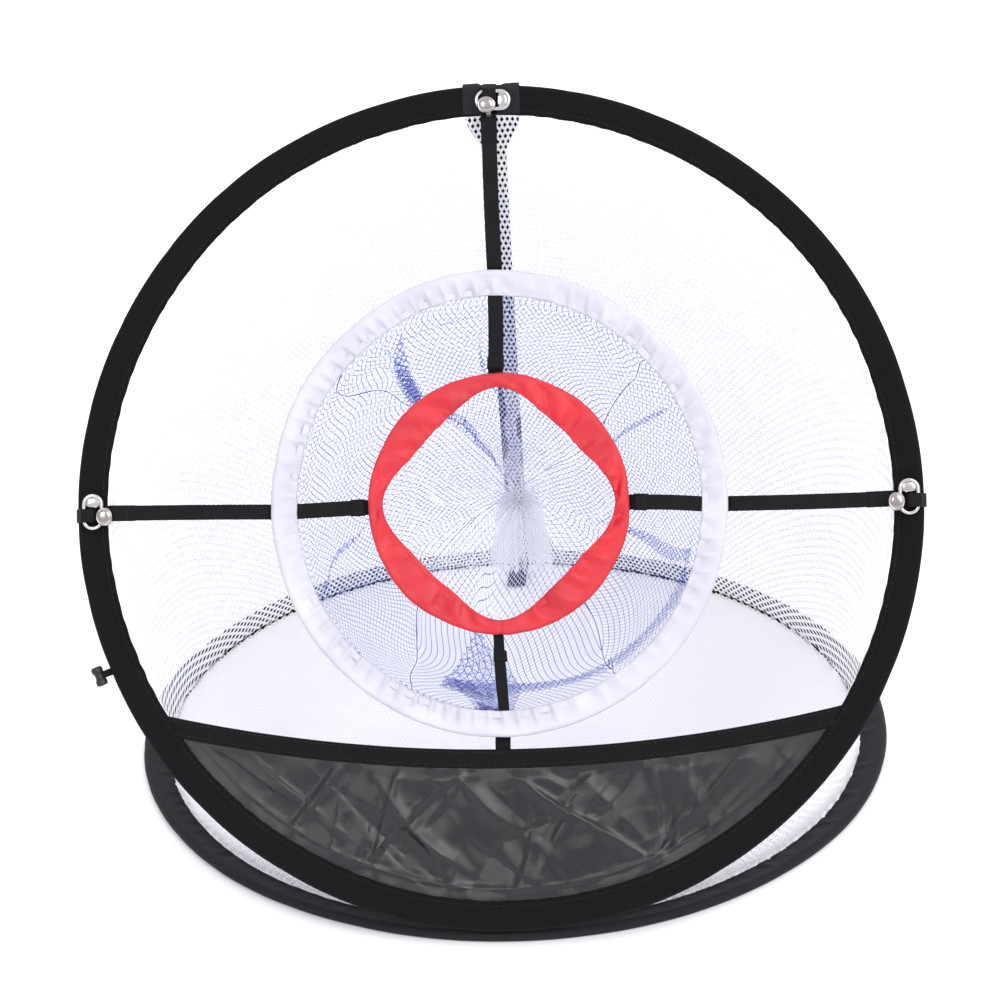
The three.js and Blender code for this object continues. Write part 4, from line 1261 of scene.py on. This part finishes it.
def spine():
    """The webbing up the back of the wall, with its foot laid on the floor net."""
    part = Part()
    share = np.linspace(0.004, 0.955, 420)
    path = wall_at(np.full(420, BACK), share, np.full(420, BACK_LENGTH), 0.95)
    side, out = frame_of(path, np.tile(ACROSS, (420, 1)))
    out = out * np.sign((out @ np.array([0, 1.0, 0.5])).mean())
    sweep(part, path, side, out, ribbed(15, 1.1, 9), share)
    for x in (-6.2, 6.2):
        stitches(part, path + side * x + out * 0.56, out, 2.6, 1.0, 0.22, share)
    y = np.linspace(BASE_Y + BASE_SEAM + 1.5, BASE_Y + BASE_SEAM - 40, 60)
    z = 2.9 + 0.5 * np.sin((y - y[0]) / 9) * smooth(y[0] - y, 2, 12)
    foot = np.stack([-0.05 * (y[0] - y), y, z], -1)
    upward = np.tile([0.0, 0.0, 1.0], (60, 1))
    sweep(part, foot, np.tile(ACROSS, (60, 1)), upward, ribbed(14, 1.0, 9), np.zeros(60))
    return part.build("rear_spine_webbing_strip", M["webbing"], M["thread"]), part


def gusset():
    """The wide top of the webbing, with stitches round and across it."""
    part = Part()
    share = np.linspace(0.942, 0.998, 44)
    half = np.interp(share, [0.942, 0.95, 0.99, 1.0], [7.5, 8.5, 16, 16.5])
    across = np.linspace(-1, 1, 33)
    r = (BASE_SEAM + FRONT_SEAM) / 2
    turn = BACK - across[None] * (half / r)[:, None]
    s = share[:, None] + 0 * turn
    top, low = [wall_at(turn, s, BACK_LENGTH + 0 * s, lift) for lift in (1.75, 0.95)]
    soft = 0.18 * np.sin(across * 9)[None, :, None] * unit(top - low)
    ring = np.concatenate([top + soft, low[:, ::-1]], 1)
    tags = np.repeat(share, ring.shape[1]).reshape(ring.shape[:2])
    part.grid(ring, share * 520, np.linspace(0, 66, ring.shape[1] + 1), (False, True), tags)
    for end in (0, -1):
        part.cap(ring[end], tags[end], end < 0)
    out = unit(top - low)
    for j in (3, 29):
        stitches(part, top[:, j] + 0.05 * out[:, j], out[:, j], 2.0, 0.8, 0.2, share)
    for i in (6, 14, 22, 30, 38):
        stitches(part, top[i] + 0.05 * out[i], out[i], 2.0, 0.8, 0.2, np.full(33, share[i]))
    return part.build("spine_top_gusset_patch", M["webbing"], M["thread"]), part


rear_spine, spine_part = spine()
top_gusset, gusset_part = gusset()


# ---------------------------------------------------------------- bodies
def fan(obj, part):
    """Bakes the cloth's placement into its mesh and works out how far each point between the hoops would turn
    about the hinge in step with its own height to fold flat; nothing uses that.
    """
    start, end = [tuple(p * MM) for p in seam_points(table_turn[2000])]
    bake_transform(obj)
    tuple(start)
    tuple(end)
    share = np.clip(np.concatenate(part.tags), 0, 1)
    angle = np.arctan2(share * math.sin(TILT), 1 - share + share * math.cos(TILT))
    co = np.zeros(3 * len(obj.data.vertices), np.float32)
    obj.data.vertices.foreach_get("co", co)
    away = np.maximum(np.hypot(co[1::3] / MM - HINGE[1], co[2::3] / MM - HINGE[2]), 25)
    rest = (2.6 + 7.15 * share - HINGE[2]) / away
    weight = np.clip((angle - rest) / TILT, 0, 1)
    weight[share <= 0] = 0
    weight[share >= 1] = 1


def dress(obj, body, node, slot):
    """What a piece rides on, if anything, and the CAD node it replaces. slot, that node's material slot, is not
    used.
    """
    if body:
        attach(obj, body)
    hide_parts(node)


for obj, body, node, slot in (
        (front_sleeve, "front_hoop", "front_hoop_sleeve", "black_sleeve"),
        (base_sleeve, "base", "base_hoop_sleeve", "black_sleeve"),
        (white_sleeve, "white_target", "white_ring_sleeve", "white_sleeve"),
        (red_sleeve, "red_target", "red_ring_sleeve", "red_sleeve"),
        (outer_floor, "base", "outer_net_floor", "white_mesh"),
        (pocket, "front_hoop", "pocket_panel", "pocket_cloth"),
        (pocket_hem, "front_hoop", "pocket_hem_binding", "black_binding"),
        (top_patch, "front_hoop", "sleeve_top_patch", "black_binding"),
        (hinge_tape, "base", "hinge_seam_tape", "black_binding"),
        (keeper_loop, "front_hoop", "keeper_loop", "elastic_webbing"),
        (keeper_toggle, "keeper_toggle", "keeper_toggle", "black_plastic"),
        (blue_net, "white_target", "blue_net", "blue_mesh"),
        (white_net, "red_target", "white_net", "white_mesh")):
    dress(obj, body, node, slot)
for side_name, (tab, ring, stud) in clips.items():
    dress(tab, "front_hoop", f"clip_tab_{side_name}", "elastic_webbing")
    dress(ring, f"clip_{side_name}", f"clip_ring_{side_name}", "nickel")
    dress(stud, f"clip_{side_name}", f"strap_hook_{side_name}", "nickel")
for obj, part, node, slot in ((outer_wall, wall_part, "outer_net_wall", "white_mesh"),
                              (rear_spine, spine_part, "rear_spine_webbing", "black_webbing"),
                              (top_gusset, gusset_part, "spine_top_gusset", "black_webbing")):
    dress(obj, None, node, slot)
    fan(obj, part)

fold_anchor = tuple(front(0.0, 0.0, -1.0) * MM)
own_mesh(blue_net)
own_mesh(white_net)


def tie(strap, node, a, b):
    """Bakes a strap's placement into its mesh and hides the CAD node it replaces. The points just inside a and b
    in the hoop's plane are worked out but not used.
    """
    dress(strap, None, node, "elastic_webbing")
    a, b = np.array(a, float), np.array(b, float)
    start, end = [tuple(front(*(a + (b - a) * t), 0.0) * MM) for t in (0.04, 0.96)]
    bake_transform(strap)
    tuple(start)
    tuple(end)


for side_name, a, b in (("top", (0, REACH - 8), (0, W_TOP)), ("left", (-REACH + 8, 0), (-WHITE["a"], 0)),
                        ("right", (REACH - 8, 0), (WHITE["a"], 0)),
                        ("bottom", (0, -HEM_LOW - 1), (0, W_LOW + 0.5))):
    tie(outer[side_name], f"outer_strap_{side_name}", a, b)
for side_name, a, b in (("top", (0, W_TOP - 16), (0, 80)), ("left", (-122, 0), (-79, 0)),
                        ("right", (122, 0), (79, 0)), ("bottom", (0, W_LOW + 16), (0, -77))):
    tie(inner[side_name], f"inner_strap_{side_name}", a, b)

for look, nodes in (("spring", ("front_hoop_wire", "base_hoop_wire", "white_ring_wire", "red_ring_wire")),
                    ("ferrule", ("front_wire_ferrule", "base_wire_ferrule"))):
    for node in nodes:
        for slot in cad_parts[node].material_slots:
            slot.material = M[look]


# ---------------------------------------------------------------- stage, light and camera
def stage():
    """A wide pale floor just under the hoop."""
    part = Part()
    g = np.linspace(-40000, 40000, 8)
    x, y = np.meshgrid(g, g, indexing="ij")
    part.grid(np.stack([x, y, 0 * x - 0.02], -1), g, g)
    n = Nodes("studio_floor")
    place = n.coords("object")
    grain = n.noise(place, 300, 2)
    n.finish(n.mix(n.span(grain, 0, 1), (246, 246, 248), (250, 250, 251)), n.span(grain, 0.75, 0.9),
             n.bump(grain, 0.0001, 0.1), Specular_IOR_Level=0.1)
    part.build("floor", n.mat)


def bearing(azimuth, elevation):
    """Direction out from the net: degrees from the player's side towards the right, and up."""
    a, e = math.radians(azimuth), math.radians(elevation)
    return Vector((math.sin(a) * math.cos(e), -math.cos(a) * math.cos(e), math.sin(e)))


def sun(name, azimuth, elevation, spread, power):
    """A broad soft light."""
    data = bpy.data.lights.new(name, "SUN")
    data.angle, data.energy = math.radians(spread), power
    obj = bpy.data.objects.new(name, data)
    towards = bearing(azimuth, elevation)
    obj.location = towards * 3
    obj.rotation_euler = towards.to_track_quat("Z", "Y").to_euler()
    bpy.context.scene.collection.objects.link(obj)


stage()
sun("key", 44, 42, 40, 1.7)
sun("fill", -22, 38, 16, 0.62)
sun("back", 200, 62, 70, 0.7)
scene = bpy.context.scene
world = bpy.data.worlds.new("studio")
world.use_nodes = True
world.node_tree.nodes["Background"].inputs[0].default_value = (0.97, 0.975, 1.0, 1)
world.node_tree.nodes["Background"].inputs[1].default_value = 0.99
scene.world = world
scene.view_settings.view_transform = "Standard"

camera = bpy.data.objects.new("camera", bpy.data.cameras.new("camera"))
scene.collection.objects.link(camera)
scene.camera = camera
back = bearing(2.2, 25.46)
camera.location = Vector((0.0009, 0.110, 0.2410)) + back * 1.3756
looking = back.to_track_quat("Z", "Y").to_matrix()
camera.rotation_euler = (looking @ Matrix.Rotation(math.radians(-2.05), 3, "Z")).to_euler()
camera.data.sensor_width = 36
camera.data.lens = 82.5
camera.data.clip_start, camera.data.clip_end = 0.05, 200
